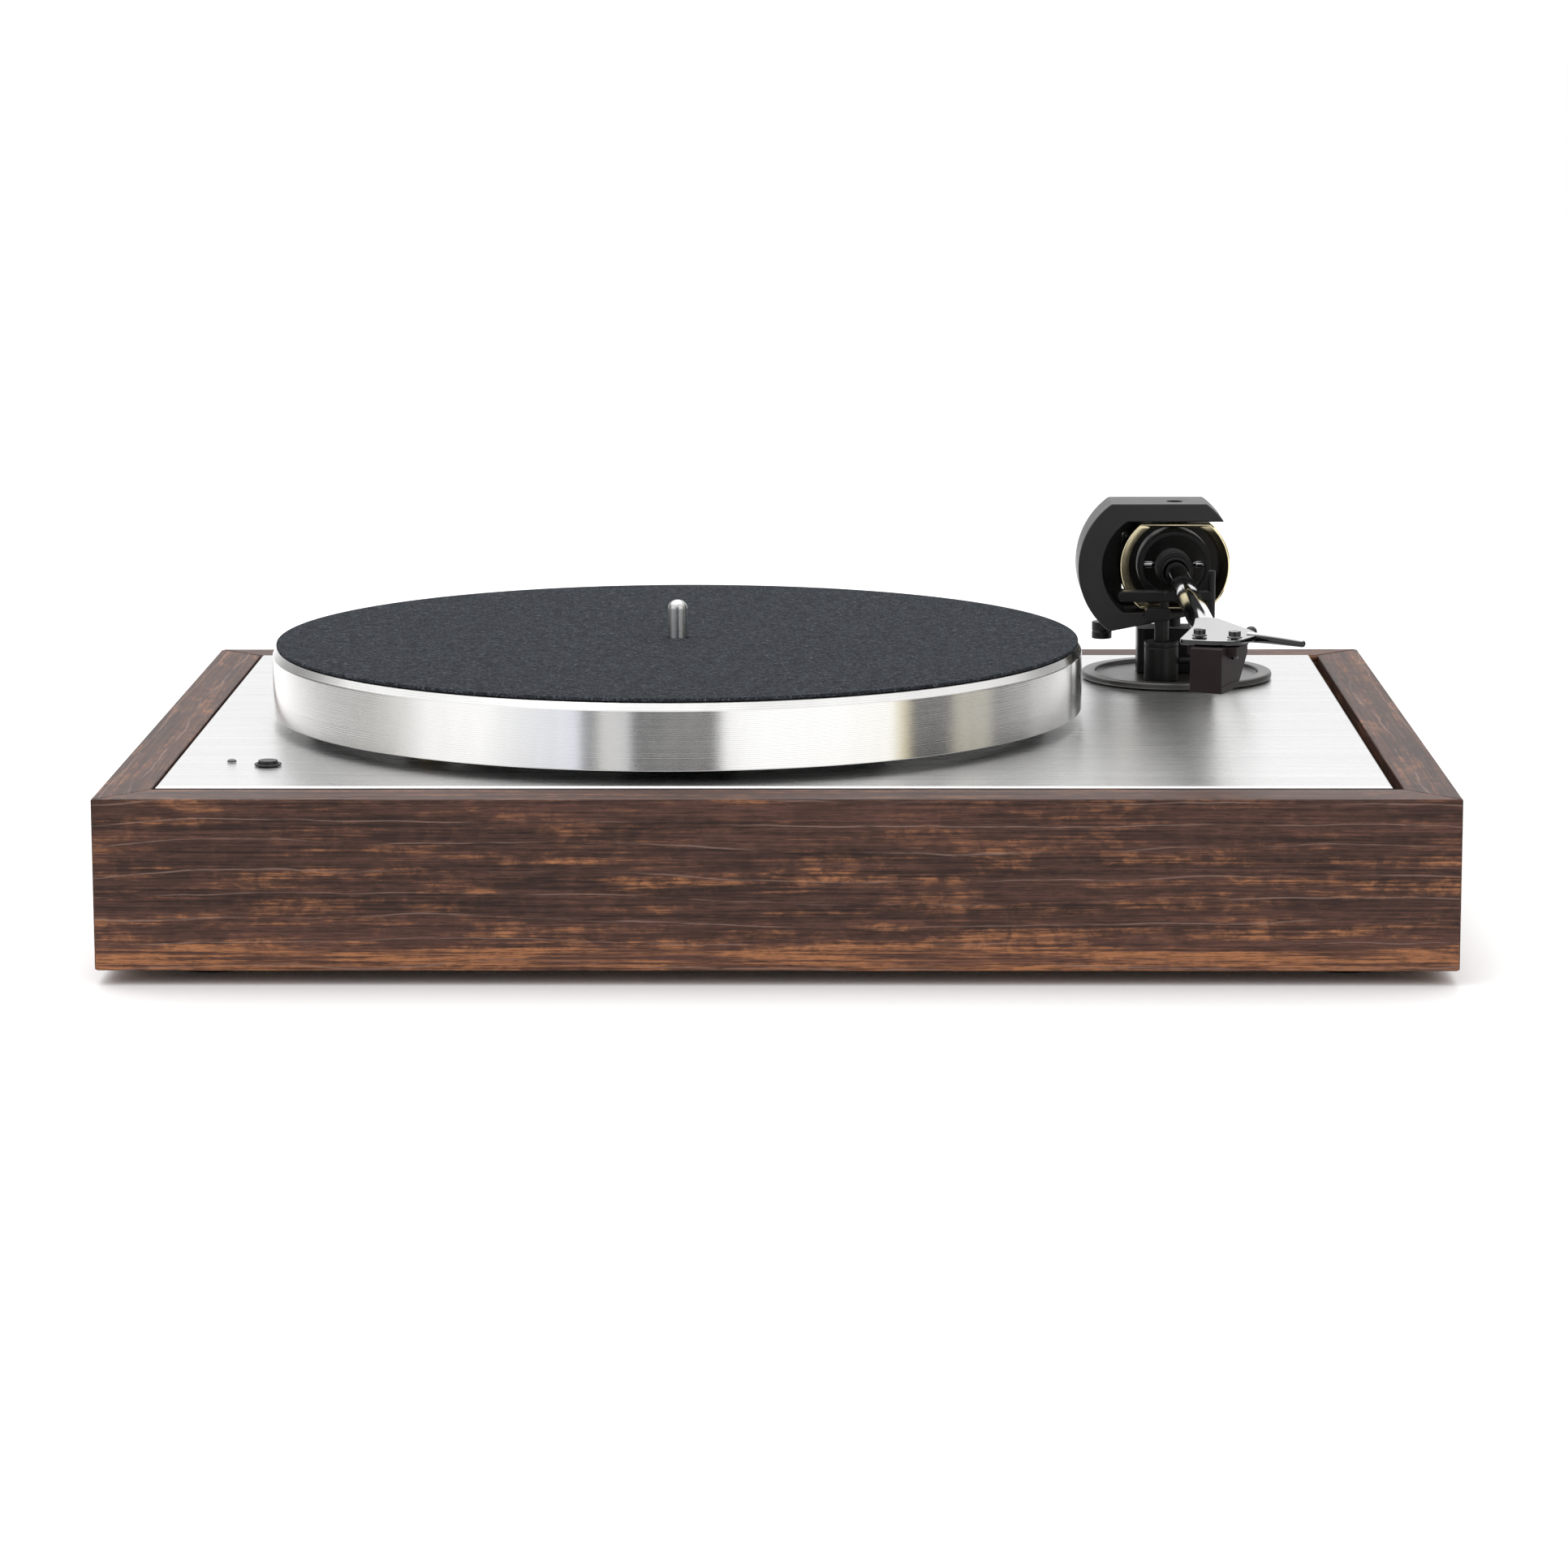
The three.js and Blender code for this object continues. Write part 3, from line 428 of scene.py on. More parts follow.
@dataclass(frozen=True)
class BrushedPlate(Finish):
    """Aluminium sheet brushed from side to side."""

    name: str = "brushed_aluminium"
    colour: Colour = (0.77, 0.77, 0.77)
    roughness: float = 0.20
    relief: float = 0.00006

    def paint(self, graph: Surface) -> None:
        """Fine and coarse brush marks along x.

        Args:
            graph: the surface that takes them.
        """
        fine = graph.noise((9, 5200, 900), 3, 0.65)
        coarse = graph.noise((4, 900, 300), 3, 0.6)
        tint = graph.blend(coarse.step(0.3, 0.75), scaled(self.colour, 0.86), self.colour)
        graph.dress({"Base Color": tint, "Metallic": 1.0, "Roughness": self.roughness + 0.14 * fine})
        graph.emboss(fine + 0.5 * coarse, self.relief, 0.55)


@dataclass(frozen=True)
class TurnedMetal(Finish):
    """Metal turned on a lathe: fine rings about an upright axis, and tool marks up its side."""

    roughness: float = 0.16
    centre: Point3 = (0.0, 0.0, 0.0)
    rings_per_metre: float = 2600.0
    depth: float = 0.00001
    stretch: float = 0.0
    marks_per_metre: float = 0.0
    lean: float = 0.0

    def paint(self, graph: Surface) -> None:
        """Rings, faint smears and leaning tool marks.

        Args:
            graph: the surface that takes them.
        """
        own = graph.node("ShaderNodeTexCoord", output="Object")
        offset = graph.node("ShaderNodeVectorMath", {"operation": "SUBTRACT"}, {0: own, 1: self.centre})
        x, y, z = graph.split(offset)
        reach = graph.node("ShaderNodeMath", {"operation": "SQRT"}, {0: x * x + y * y})
        where = graph.node("ShaderNodeCombineXYZ", None, {0: reach, 1: z})
        inputs = {"Vector": where, "Scale": self.rings_per_metre, "Detail": 2.0}
        rings = graph.node("ShaderNodeTexNoise", None, inputs)
        smears = graph.noise((60, 60, 14), 3, 0.6)
        tint = graph.blend(smears.step(0.3, 0.8), scaled(self.colour, 0.93), self.colour)
        roughness = self.roughness + 0.05 * rings + 0.05 * smears
        graph.dress({"Base Color": tint, "Metallic": 1.0, "Roughness": roughness})
        graph.dress({"Anisotropic": self.stretch, "Anisotropic Rotation": 0.25})
        marks = (z * self.marks_per_metre).fraction() * self.lean
        graph.emboss(rings * self.depth + marks, 1.0, 1.0)


@dataclass(frozen=True)
class Mirror(Finish):
    """Polished plated metal with faint wipe marks, and painted shade: its colour is darkened where it faces
    down or to one side.
    """

    colour: Colour = (0.62, 0.62, 0.63)
    roughness: float = 0.035
    # painted shade: the colour's factor where the surface faces down, and the normal heights where that shade
    # is full and where it ends
    painted_shade_factor: float = 0.25
    full_shade_below: float = -0.5
    no_shade_above: float = 0.15
    shaded_side: float = -2.0

    def paint(self, graph: Surface) -> None:
        """Wipe marks and specks, with painted shade darkening the sides that face down or to one side.

        Args:
            graph: the surface that takes them.
        """
        wipes = graph.noise((120, 35, 120), 4, 0.65, 0.3)
        specks = graph.noise(2500, 2, 0.5)
        across, _, up = graph.split(graph.node("ShaderNodeNewGeometry", output="Normal"))
        clean = graph.blend(specks.step(0.7, 0.8), self.colour, scaled(self.colour, 0.85))
        # painted shade: the colour is scaled down where the normal points down, and where it leans to -x past
        # shaded_side
        unshaded_side = across.step(self.shaded_side - 0.1, self.shaded_side)
        clear = up.step(self.full_shade_below, self.no_shade_above) * unshaded_side
        tint = graph.blend(clear, scaled(self.colour, self.painted_shade_factor), clean)
        roughness = self.roughness + 0.05 * wipes.step(0.45, 0.8)
        graph.dress({"Base Color": tint, "Metallic": 1.0, "Roughness": roughness})
        graph.emboss(wipes, 0.00001, 0.15)


@dataclass(frozen=True)
class SatinCoat(Finish):
    """Powder-coated or anodised surface with a fine grain."""

    roughness: float = 0.34
    shine: float = 0.3
    relief: float = 0.00003

    def paint(self, graph: Surface) -> None:
        """Fine grain over a faint mottle.

        Args:
            graph: the surface that takes them.
        """
        grain = graph.noise(2600, 3, 0.6)
        mottle = graph.noise(90, 3, 0.55)
        tint = graph.blend(mottle.step(0.3, 0.75), self.colour, scaled(self.colour, 1.35))
        roughness = self.roughness + 0.1 * mottle
        graph.dress({"Base Color": tint, "Roughness": roughness, "Specular IOR Level": self.shine})
        graph.emboss(grain, self.relief, 0.5)


@dataclass(frozen=True)
class GlossPlastic(Finish):
    """Moulded plastic with a clear shine."""

    roughness: float = 0.16

    def paint(self, graph: Surface) -> None:
        """Soft flow marks under a thin coat.

        Args:
            graph: the surface that takes them.
        """
        flow = graph.noise(140, 3, 0.5)
        tint = graph.blend(flow, self.colour, scaled(self.colour, 0.85))
        graph.dress({"Base Color": tint, "Roughness": self.roughness + 0.06 * flow, "Coat Weight": 0.3})
        graph.emboss(flow, 0.00003, 0.2)


@dataclass(frozen=True)
class Felt(Finish):
    """Pressed charcoal wool: short matted fibres in pale and dark shades."""

    name: str = "felt"
    colour: Colour = (0.027, 0.030, 0.035)
    pale_fibre: float = 5.0
    dark_clump: float = 0.55
    relief: float = 0.0003

    def paint(self, graph: Surface) -> None:
        """Pale hairs over darker clumps.

        Args:
            graph: the surface that takes them.
        """
        hairs = graph.noise(800, 5, 0.72, 1.2)
        clumps = graph.noise(260, 4, 0.6, 0.8)
        mottled = graph.blend(clumps.step(0.3, 0.7), scaled(self.colour, self.dark_clump), self.colour)
        haired = graph.blend(hairs.step(0.48, 0.76), mottled, scaled(self.colour, self.pale_fibre))
        graph.dress({"Base Color": haired, "Roughness": 1.0, "Specular IOR Level": 0.05})
        graph.emboss(hairs + 0.5 * clumps, self.relief, 0.5)


@dataclass(frozen=True)
class Rubber(Finish):
    """Matte black rubber with moulding bloom."""

    name: str = "rubber"
    colour: Colour = (0.018, 0.018, 0.018)

    def paint(self, graph: Surface) -> None:
        """A pale bloom and a fine skin.

        Args:
            graph: the surface that takes them.
        """
        bloom = graph.noise(180, 4, 0.6)
        skin = graph.noise(1800, 2, 0.5)
        tint = graph.blend(bloom.step(0.45, 0.8), self.colour, scaled(self.colour, 2.2))
        graph.dress({"Base Color": tint, "Roughness": 0.72 + 0.15 * bloom})
        graph.emboss(skin, 0.00005, 0.5)


@dataclass(frozen=True)
class FibreBoard(Finish):
    """Raw pressed wood-fibre board."""

    name: str = "board"
    colour: Colour = (0.32, 0.23, 0.15)

    def paint(self, graph: Surface) -> None:
        """Light and dark chips.

        Args:
            graph: the surface that takes them.
        """
        chips = graph.noise(700, 4, 0.65, 1.0)
        tint = graph.blend(chips.step(0.35, 0.7), scaled(self.colour, 0.6), self.colour)
        graph.dress({"Base Color": tint, "Roughness": 0.85})
        graph.emboss(chips, 0.0002, 0.5)


@dataclass(frozen=True)
class CircuitLacquer(Finish):
    """Green lacquered circuit card with paler tracks."""

    name: str = "circuit"
    colour: Colour = (0.01, 0.09, 0.045)

    def paint(self, graph: Surface) -> None:
        """Tracks that stand a little proud.

        Args:
            graph: the surface that takes them.
        """
        tracks = graph.noise(300, 1, 0.2)
        edges = (tracks * 6.0).fraction().step(0.4, 0.5)
        tint = graph.blend(edges, self.colour, scaled(self.colour, 1.9))
        graph.dress({"Base Color": tint, "Roughness": 0.3, "Coat Weight": 0.5})
        graph.emboss(edges, 0.00003, 0.4)


class Finishes:
    """Every finish by its name; those the record names as slots come under the slot's name."""

    def __init__(self, spindle: Point3) -> None:
        """Makes the materials.

        Args:
            spindle: the centre of the turned rings.
        """
        made = [
            Veneer(),
            Veneer("veneer_side", grain=Grain.ALONG_Y),
            BrushedPlate(),
            TurnedMetal(
                "polished_aluminium", (0.78, 0.775, 0.765), roughness=0.10, centre=spindle,
                depth=0.00002, stretch=0.98, marks_per_metre=1400.0, lean=-0.0001,
            ),
            TurnedMetal("steel", (0.50, 0.51, 0.52), roughness=0.20),
            TurnedMetal("spindle_steel", (0.55, 0.55, 0.55), centre=spindle, stretch=0.95),
            TurnedMetal("brass", (0.72, 0.52, 0.24), roughness=0.2),
            # the Mirror finishes below carry painted shade on their down-facing and side-facing surfaces
            Mirror(
                "mirror_aluminium", (0.80, 0.80, 0.81), painted_shade_factor=0.06, full_shade_below=-0.15, no_shade_above=0.55,
            ),
            Mirror(
                "plated", (0.39, 0.39, 0.395), roughness=0.06, painted_shade_factor=0.12,
                full_shade_below=0.5, no_shade_above=0.98,
            ),
            Mirror("pin_steel"),
            Mirror(
                "golden", (0.98, 0.86, 0.56), roughness=0.17, painted_shade_factor=0.04,
                full_shade_below=-1.2, no_shade_above=-1.1, shaded_side=-0.25,
            ),
            SatinCoat("satin_black", (0.0105, 0.0100, 0.0103), shine=0.4),
            SatinCoat("base_black", (0.016, 0.0145, 0.0135), roughness=0.26, shine=0.75),
            SatinCoat("deep_black", (0.0055, 0.0055, 0.0055), roughness=0.30, shine=0.2),
            SatinCoat("black_alloy", (0.006, 0.006, 0.006), roughness=0.36, shine=0.2),
            SatinCoat("black_plastic", (0.012, 0.012, 0.0125), roughness=0.3, shine=0.4),
            SatinCoat("cartridge_brown", (0.0135, 0.0085, 0.0095), roughness=0.5, shine=0.1),
            Felt(),
            Rubber(),
            FibreBoard(),
            CircuitLacquer(),
            GlossPlastic("red_plastic", (0.45, 0.02, 0.02)),
            GlossPlastic("white_plastic", (0.80, 0.80, 0.77)),
            GlossPlastic("smoked_lens", (0.05, 0.05, 0.055), roughness=0.08),
        ]
        self.materials = {finish.name: finish.build() for finish in made}

    def __getitem__(self, name: str) -> bpy.types.Material:
        """The material of that name."""
        return self.materials[name]


# ---------------------------------------------------------------- mesh making


def directed(across: Point3, up: Point3, along: Point3, origin: Vector) -> Matrix:
    """Takes three unit directions to the row frame, from origin."""
    turn = Matrix((across, up, along)).transposed().to_4x4()
    return Matrix.Translation(origin) @ turn


def circle(radius: float, sides: int) -> list[Point2]:
    """Corners of a regular outline round the origin."""
    angles = [2 * math.pi * k / sides for k in range(sides)]
    return [(radius * math.cos(a), radius * math.sin(a)) for a in angles]


def rectangle(left: float, low: float, right: float, high: float) -> list[Point2]:
    """Corners of a rectangle, starting at the lower left."""
    return [(left, low), (right, low), (right, high), (left, high)]


def dome(radius: float, base: float, rise: float, first: int = 0, steps: int = 12) -> list[Point2]:
    """Profile of a dome, up to but not including its top.

    Args:
        radius: its radius at the base.
        base: height of the base.
        rise: how much higher the top is.
        first: the first of the steps to take.
        steps: stretches from base to top.

    Returns:
        Radius and height of each point.
    """
    angles = [math.pi / 2 * k / steps for k in range(first, steps)]
    return [(radius * math.cos(a), base + rise * math.sin(a)) for a in angles]


class Axis(Enum):
    """The direction a turned or drawn piece stands in, as three unit directions: across, up, along."""

    X = ((0, 1, 0), (0, 0, 1), (1, 0, 0))
    Y = ((0, 0, 1), (1, 0, 0), (0, 1, 0))
    Z = ((1, 0, 0), (0, 1, 0), (0, 0, 1))

    def matrix(self, origin: Vector) -> Matrix:
        """Takes across, up and along to the row frame, from origin."""
        return directed(*self.value, origin)


@dataclass(frozen=True)
class Extent:
    """The box of a node at rest."""

    low: Vector
    high: Vector

    @classmethod
    def of(cls, node: str) -> Extent:
        """The box of the named node."""
        low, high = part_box(node)
        return cls(Vector(low), Vector(high))

    @property
    def centre(self) -> Vector:
        """Middle of the box."""
        return (self.low + self.high) / 2

    @property
    def size(self) -> Vector:
        """Its three sides."""
        return self.high - self.low

    @property
    def foot(self) -> Vector:
        """Middle of its underside."""
        return Vector((self.centre.x, self.centre.y, self.low.z))

    @property
    def front(self) -> Vector:
        """Middle of the side that faces the front."""
        return Vector((self.centre.x, self.low.y, self.centre.z))


def arc(centre: Point2, radius: float, start: float, end: float, steps: int = 24) -> list[Point2]:
    """Points on an arc, ends included.

    Args:
        centre: middle of the circle.
        radius: its radius.
        start: first angle in degrees.
        end: last angle in degrees.
        steps: number of stretches.

    Returns:
        The points in order.
    """
    angles = [math.radians(start + (end - start) * k / steps) for k in range(steps + 1)]
    return [(centre[0] + radius * math.cos(a), centre[1] + radius * math.sin(a)) for a in angles]


def eased(points: Sequence[Point2], radius: float, closed: bool, steps: int = 4) -> list[Point2]:
    """Rounds the corners of an outline or a turning profile.

    Args:
        points: the corners.
        radius: how far along each side the rounding starts, at most.
        closed: whether the last point joins the first.
        steps: stretches in each rounded corner.

    Returns:
        The outline with its corners replaced by curves.
    """
    count = len(points)
    made: list[Point2] = []
    for k, corner in enumerate(points):
        if not closed and k in (0, count - 1):
            made.append(corner)
            continue
        here = Vector(corner)
        before = Vector(points[k - 1]) - here
        after = Vector(points[(k + 1) % count]) - here
        reach = min(radius, 0.45 * before.length, 0.45 * after.length)
        start = here + before.normalized() * reach
        end = here + after.normalized() * reach
        for step in range(steps + 1):
            t = step / steps
            made.append(tuple((1 - t) ** 2 * start + 2 * t * (1 - t) * here + t * t * end))
    return made


class Workshop:
    """Makes mesh pieces, dresses them and fits them to the frame."""

    def __init__(self, finishes: Finishes) -> None:
        """Keeps the finishes that pieces are dressed in."""
        self.finishes = finishes

    @staticmethod
    def _object(
        name: str, mesh: bmesh.types.BMesh, edge: float = 0.0, segments: int = 3
    ) -> bpy.types.Object:
        """Turns a bmesh into a piece with soft edges and clean shading.

        Args:
            name: the piece's name.
            mesh: its faces, freed here.
            edge: width of the softened edges in metres, 0 for none.
            segments: stretches across each softened edge.

        Returns:
            The piece.
        """
        bmesh.ops.recalc_face_normals(mesh, faces=mesh.faces)
        for face in mesh.faces:
            face.smooth = True
        data = bpy.data.meshes.new(name)
        mesh.to_mesh(data)
        mesh.free()
        piece = bpy.data.objects.new(name, data)
        bpy.context.scene.collection.objects.link(piece)
        if edge > 0.0:
            bevel = piece.modifiers.new("edges", "BEVEL")
            bevel.width = edge
            bevel.segments = segments
            bevel.limit_method = "ANGLE"
            bevel.angle_limit = math.radians(BEVEL_ANGLE)
            bevel.use_clamp_overlap = True
        else:
            data.set_sharp_from_angle(angle=math.radians(SHARP_ANGLE))
        normals = piece.modifiers.new("shading", "WEIGHTED_NORMAL")
        normals.keep_sharp = True
        return piece

    def turn(
        self, name: str, profile: Sequence[Point2], origin: Vector, axis: Axis = Axis.Z,
        sides: int = 96, closed: bool = False,
    ) -> bpy.types.Object:
        """Turns a profile about an axis.

        Args:
            name: the piece's name.
            profile: radius and height of each point; an open profile starts and ends on the axis.
            origin: where the heights are counted from.
            axis: the direction of the heights.
            sides: number of sides.
            closed: whether the profile joins up, as on a ring.

        Returns:
            The piece.
        """
        mesh = bmesh.new()
        place = axis.matrix(origin)
        rings = []
        for radius, height in profile:
            if radius < 1e-7:
                rings.append([mesh.verts.new(place @ Vector((0, 0, height)))])
                continue
            rings.append([mesh.verts.new(place @ Vector((x, y, height))) for x, y in circle(radius, sides)])
        pairs = list(zip(rings, rings[1:] + rings[:1])) if closed else list(zip(rings, rings[1:]))
        for lower, upper in pairs:
            for k in range(sides):
                following = (k + 1) % sides
                corners = [lower[k % len(lower)], lower[following % len(lower)]]
                corners += [upper[following % len(upper)], upper[k % len(upper)]]
                face = list(dict.fromkeys(corners))
                if len(face) > 2:
                    mesh.faces.new(face)
        return self._object(name, mesh)

    def prism(
        self, name: str, outline: Sequence[Point2], low: float, high: float, axis: Axis, edge: float
    ) -> bpy.types.Object:
        """Raises a flat outline along an axis.

        Args:
            name: the piece's name.
            outline: its corners, across and up.
            low: where it starts along the axis.
            high: where it ends.
            axis: the direction it is raised in.
            edge: width of the softened edges.

        Returns:
            The piece.
        """
        return self.assembly(name, [(outline, low, high, axis.matrix(Vector()))], edge)

    @staticmethod
    def _raise(
        mesh: bmesh.types.BMesh, outline: Sequence[Point2], low: float, high: float, place: Matrix
    ) -> None:
        """Adds a raised outline to a bmesh.

        Args:
            mesh: what it is added to.
            outline: its corners.
            low: where it starts.
            high: where it ends.
            place: takes the outline and the heights to the row frame.
        """
        bottom = [mesh.verts.new(place @ Vector((x, y, low))) for x, y in outline]
        top = [mesh.verts.new(place @ Vector((x, y, high))) for x, y in outline]
        mesh.faces.new(list(reversed(bottom)))
        mesh.faces.new(top)
        count = len(outline)
        for k in range(count):
            following = (k + 1) % count
            mesh.faces.new([bottom[k], bottom[following], top[following], top[k]])

    def assembly(self, name: str, parts: Iterable[Raised], edge: float) -> bpy.types.Object:
        """Several raised outlines as one piece.

        Args:
            name: the piece's name.
            parts: outline, start, end and placing matrix of each.
            edge: width of the softened edges.

        Returns:
            The piece.
        """
        mesh = bmesh.new()
        for outline, low, high, place in parts:
            self._raise(mesh, outline, low, high, place)
        return self._object(name, mesh, edge)

    def loft(
        self, name: str, loops: Sequence[tuple[Sequence[Point2], float]], axis: Axis, edge: float
    ) -> bpy.types.Object:
        """A closed band whose section steps from one outline to the next, and back to the first.

        Args:
            name: the piece's name.
            loops: matching outlines and where each lies along the axis.
            axis: the direction the outlines face.
            edge: width of the softened edges.

        Returns:
            The piece.
        """
        mesh = bmesh.new()
        place = axis.matrix(Vector())
        rings = [
            [mesh.verts.new(place @ Vector((x, y, height))) for x, y in outline] for outline, height in loops
        ]
        count = len(rings[0])
        for first, second in zip(rings, rings[1:] + rings[:1]):
            for k in range(count):
                following = (k + 1) % count
                mesh.faces.new([first[k], first[following], second[following], second[k]])
        return self._object(name, mesh, edge, 2)

    def sweep(
        self, name: str, points: Sequence[Point3], radius: Callable[[float], float],
        sides: int = 24, steps: int = 48,
    ) -> bpy.types.Object:
        """Draws a round bar along a smooth path.

        Args:
            name: the piece's name.
            points: what the path passes through, in metres.
            radius: the bar's radius at each share of the length.
            sides: sides of the section.
            steps: sections along the path.

        Returns:
            The piece.
        """
        path = smooth_path([Vector(p) for p in points], steps)
        mesh = bmesh.new()
        rings = []
        for k, point in enumerate(path):
            ahead = path[min(k + 1, steps)] - path[max(k - 1, 0)]
            ahead.normalize()
            side = ahead.cross(Vector((0, 0, 1)))
            side = side.normalized() if side.length > 1e-4 else Vector((1, 0, 0))
            lift = side.cross(ahead)
            reach = radius(k / steps)
            around = [point + side * reach * a + lift * reach * b for a, b in circle(1.0, sides)]
            rings.append([mesh.verts.new(corner) for corner in around])
        for first, second in zip(rings, rings[1:]):
            for j in range(sides):
                following = (j + 1) % sides
                mesh.faces.new([first[j], first[following], second[following], second[j]])
        mesh.faces.new(list(reversed(rings[0])))
        mesh.faces.new(rings[-1])
        return self._object(name, mesh)

    @staticmethod
    def drill(piece: bpy.types.Object, tool: bpy.types.Object) -> None:
        """Cuts the tool's shape out of the piece and removes the tool.

        Args:
            piece: what is cut.
            tool: the shape taken away.
        """
        shading = piece.modifiers["shading"]
        shading.show_viewport = False
        cut = piece.modifiers.new("bore", "BOOLEAN")
        cut.operation = "DIFFERENCE"
        cut.solver = "EXACT"
        cut.object = tool
        graph = bpy.context.evaluated_depsgraph_get()
        piece.data = bpy.data.meshes.new_from_object(piece.evaluated_get(graph))
        for modifier in [other for other in piece.modifiers if other != shading]:
            piece.modifiers.remove(modifier)
        shading.show_viewport = True
        piece.data.set_sharp_from_angle(angle=math.radians(SHARP_ANGLE))
        bpy.data.objects.remove(tool, do_unlink=True)

    def fit(
        self, piece: bpy.types.Object, body: str, nodes: Sequence[str], slot: str, finish: str = ""
    ) -> None:
        """Dresses a piece and fits it to the frame.

        Args:
            piece: the mesh.
            body: the body it rides on.
            nodes: the nodes it stands for.
            slot: the record's slot of its finish.
            finish: the material, if it isn't the slot's own.
        """
        piece.data.materials.clear()
        piece.data.materials.append(self.finishes[finish or slot])
        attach(piece, body)
        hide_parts(*nodes)
        LOG.info("%s rides on %s", piece.name, body)


def smooth_path(points: Sequence[Vector], steps: int) -> list[Vector]:
    """A curve through all the points, with evenly numbered samples.

    Args:
        points: what it passes through.
        steps: number of stretches.

    Returns:
        The samples, ends included.
    """
    padded = [2 * points[0] - points[1], *points, 2 * points[-1] - points[-2]]
    spans = len(points) - 1
    samples = []
    for k in range(steps + 1):
        at = min(spans * k / steps, spans - 1e-9)
        index = int(at)
        t = at - index
        a, b, c, d = padded[index : index + 4]
        curve = 2 * b + (c - a) * t + (2 * a - 5 * b + 4 * c - d) * t**2 + (3 * b - a - 3 * c + d) * t**3
        samples.append(curve / 2)
    return samples


def knurled(radius: float, depth: float, teeth: int) -> list[Point2]:
    """Outline of a knurled knob, with shallow flutes.

    Args:
        radius: outer radius.
        depth: depth of a flute.
        teeth: number of flutes.

    Returns:
        The outline.
    """
    count = teeth * 4
    outline = []
    for k in range(count):
        angle = 2 * math.pi * k / count
        reach = radius - depth * (0.5 + 0.5 * math.cos(teeth * angle))
        outline.append((reach * math.cos(angle), reach * math.sin(angle)))
    return outline


# ---------------------------------------------------------------- plinth and deck


@dataclass
class Plinth:
    """Four mitred boards with softened edges, on low rubber feet."""

    shop: Workshop
    edge: float = 0.6 * MM
    foot_lip: float = 1.2 * MM
    foot_groove: float = 0.8 * MM

    def build(self) -> None:
        """Makes the boards and feet; the rear board keeps its machined window."""
        front = Extent.of("plinth_front")
        back = Extent.of("plinth_back")
        left = Extent.of("plinth_left")
        right = Extent.of("plinth_right")
        joint = front.low.x - left.low.x
        inner_left = left.high.x
        inner_right = right.low.x
        boards = {
            "plinth_front": [
                (front.low.x, front.low.y), (front.high.x, front.low.y),
                (inner_right - joint, front.high.y), (inner_left + joint, front.high.y),
            ],
            "plinth_left": [
                (left.low.x, left.high.y), (left.low.x, left.low.y),
                (inner_left, front.high.y - joint), (inner_left, back.low.y + joint),
            ],
            "plinth_right": [
                (right.high.x, right.low.y), (right.high.x, right.high.y),
                (inner_right, back.low.y + joint), (inner_right, front.high.y - joint),
            ],
        }
        for node, outline in boards.items():
            name = node.replace("plinth_", "board_")
            piece = self.shop.prism(name, outline, front.low.z, front.high.z, Axis.Z, self.edge)
            self.shop.fit(piece, "plinth", [node], "veneer", OTHER_FINISH.get(node, ""))
        for number in range(1, 5):
            self._foot(f"foot_{number}")

    def _foot(self, node: str) -> None:
        """Makes a turned rubber foot with a groove round it.

        Args:
            node: the foot's node.
        """
        box = Extent.of(node)
        radius = box.size.x / 2
        height = box.size.z
        profile = [
            (0, 0), (radius - self.foot_lip, 0), (radius, self.foot_lip), (radius, 0.45 * height),
            (radius - self.foot_groove, 0.55 * height), (radius, 0.65 * height), (radius, height),
            (0, height),
        ]
        piece = self.shop.turn(f"rubber_{node}", eased(profile, 0.5 * MM, False), box.foot, sides=48)
        self.shop.fit(piece, "plinth", [node], "rubber")


@dataclass
class Controls:
    """Power button with its bezel, and the small status lamp."""

    shop: Workshop
    gap: float = 0.3 * MM
    guide: float = 1.6 * MM
    sunk: float = 1.8 * MM
    dish: float = 0.35 * MM

    def build(self) -> None:
        """Makes the three pieces."""
        bezel = Extent.of("button_bezel")
        cap = Extent.of("power_button")
        ring = rectangle(cap.size.x / 2 + self.gap, 0, bezel.size.x / 2, bezel.size.z)
        piece = self.shop.turn("bezel_ring", eased(ring, 0.35 * MM, True), bezel.foot, closed=True)
        self.shop.fit(piece, "plinth", ["button_bezel"], "black_plastic")

        radius = cap.size.x / 2
        top = cap.size.z
        shoulder = bezel.low.z - self.sunk - cap.low.z
        profile = [
            (0, 0), (self.guide, 0), (self.guide, shoulder), (radius, shoulder), (radius, top),
            (radius - 0.7 * MM, top), (radius * 0.5, top - 0.75 * self.dish), (0, top - self.dish),
        ]
        piece = self.shop.turn("button_cap", eased(profile, 0.4 * MM, False), cap.foot)
        self.shop.fit(piece, "button", ["power_button"], "black_plastic")

        lamp = Extent.of("status_lamp")
        profile = [(0, 0), *dome(lamp.size.x / 2, 0, lamp.size.z), (0, lamp.size.z)]
        piece = self.shop.turn("lamp_lens", profile, lamp.foot, sides=48)
        self.shop.fit(piece, "plinth", ["status_lamp"], "black_plastic", "smoked_lens")


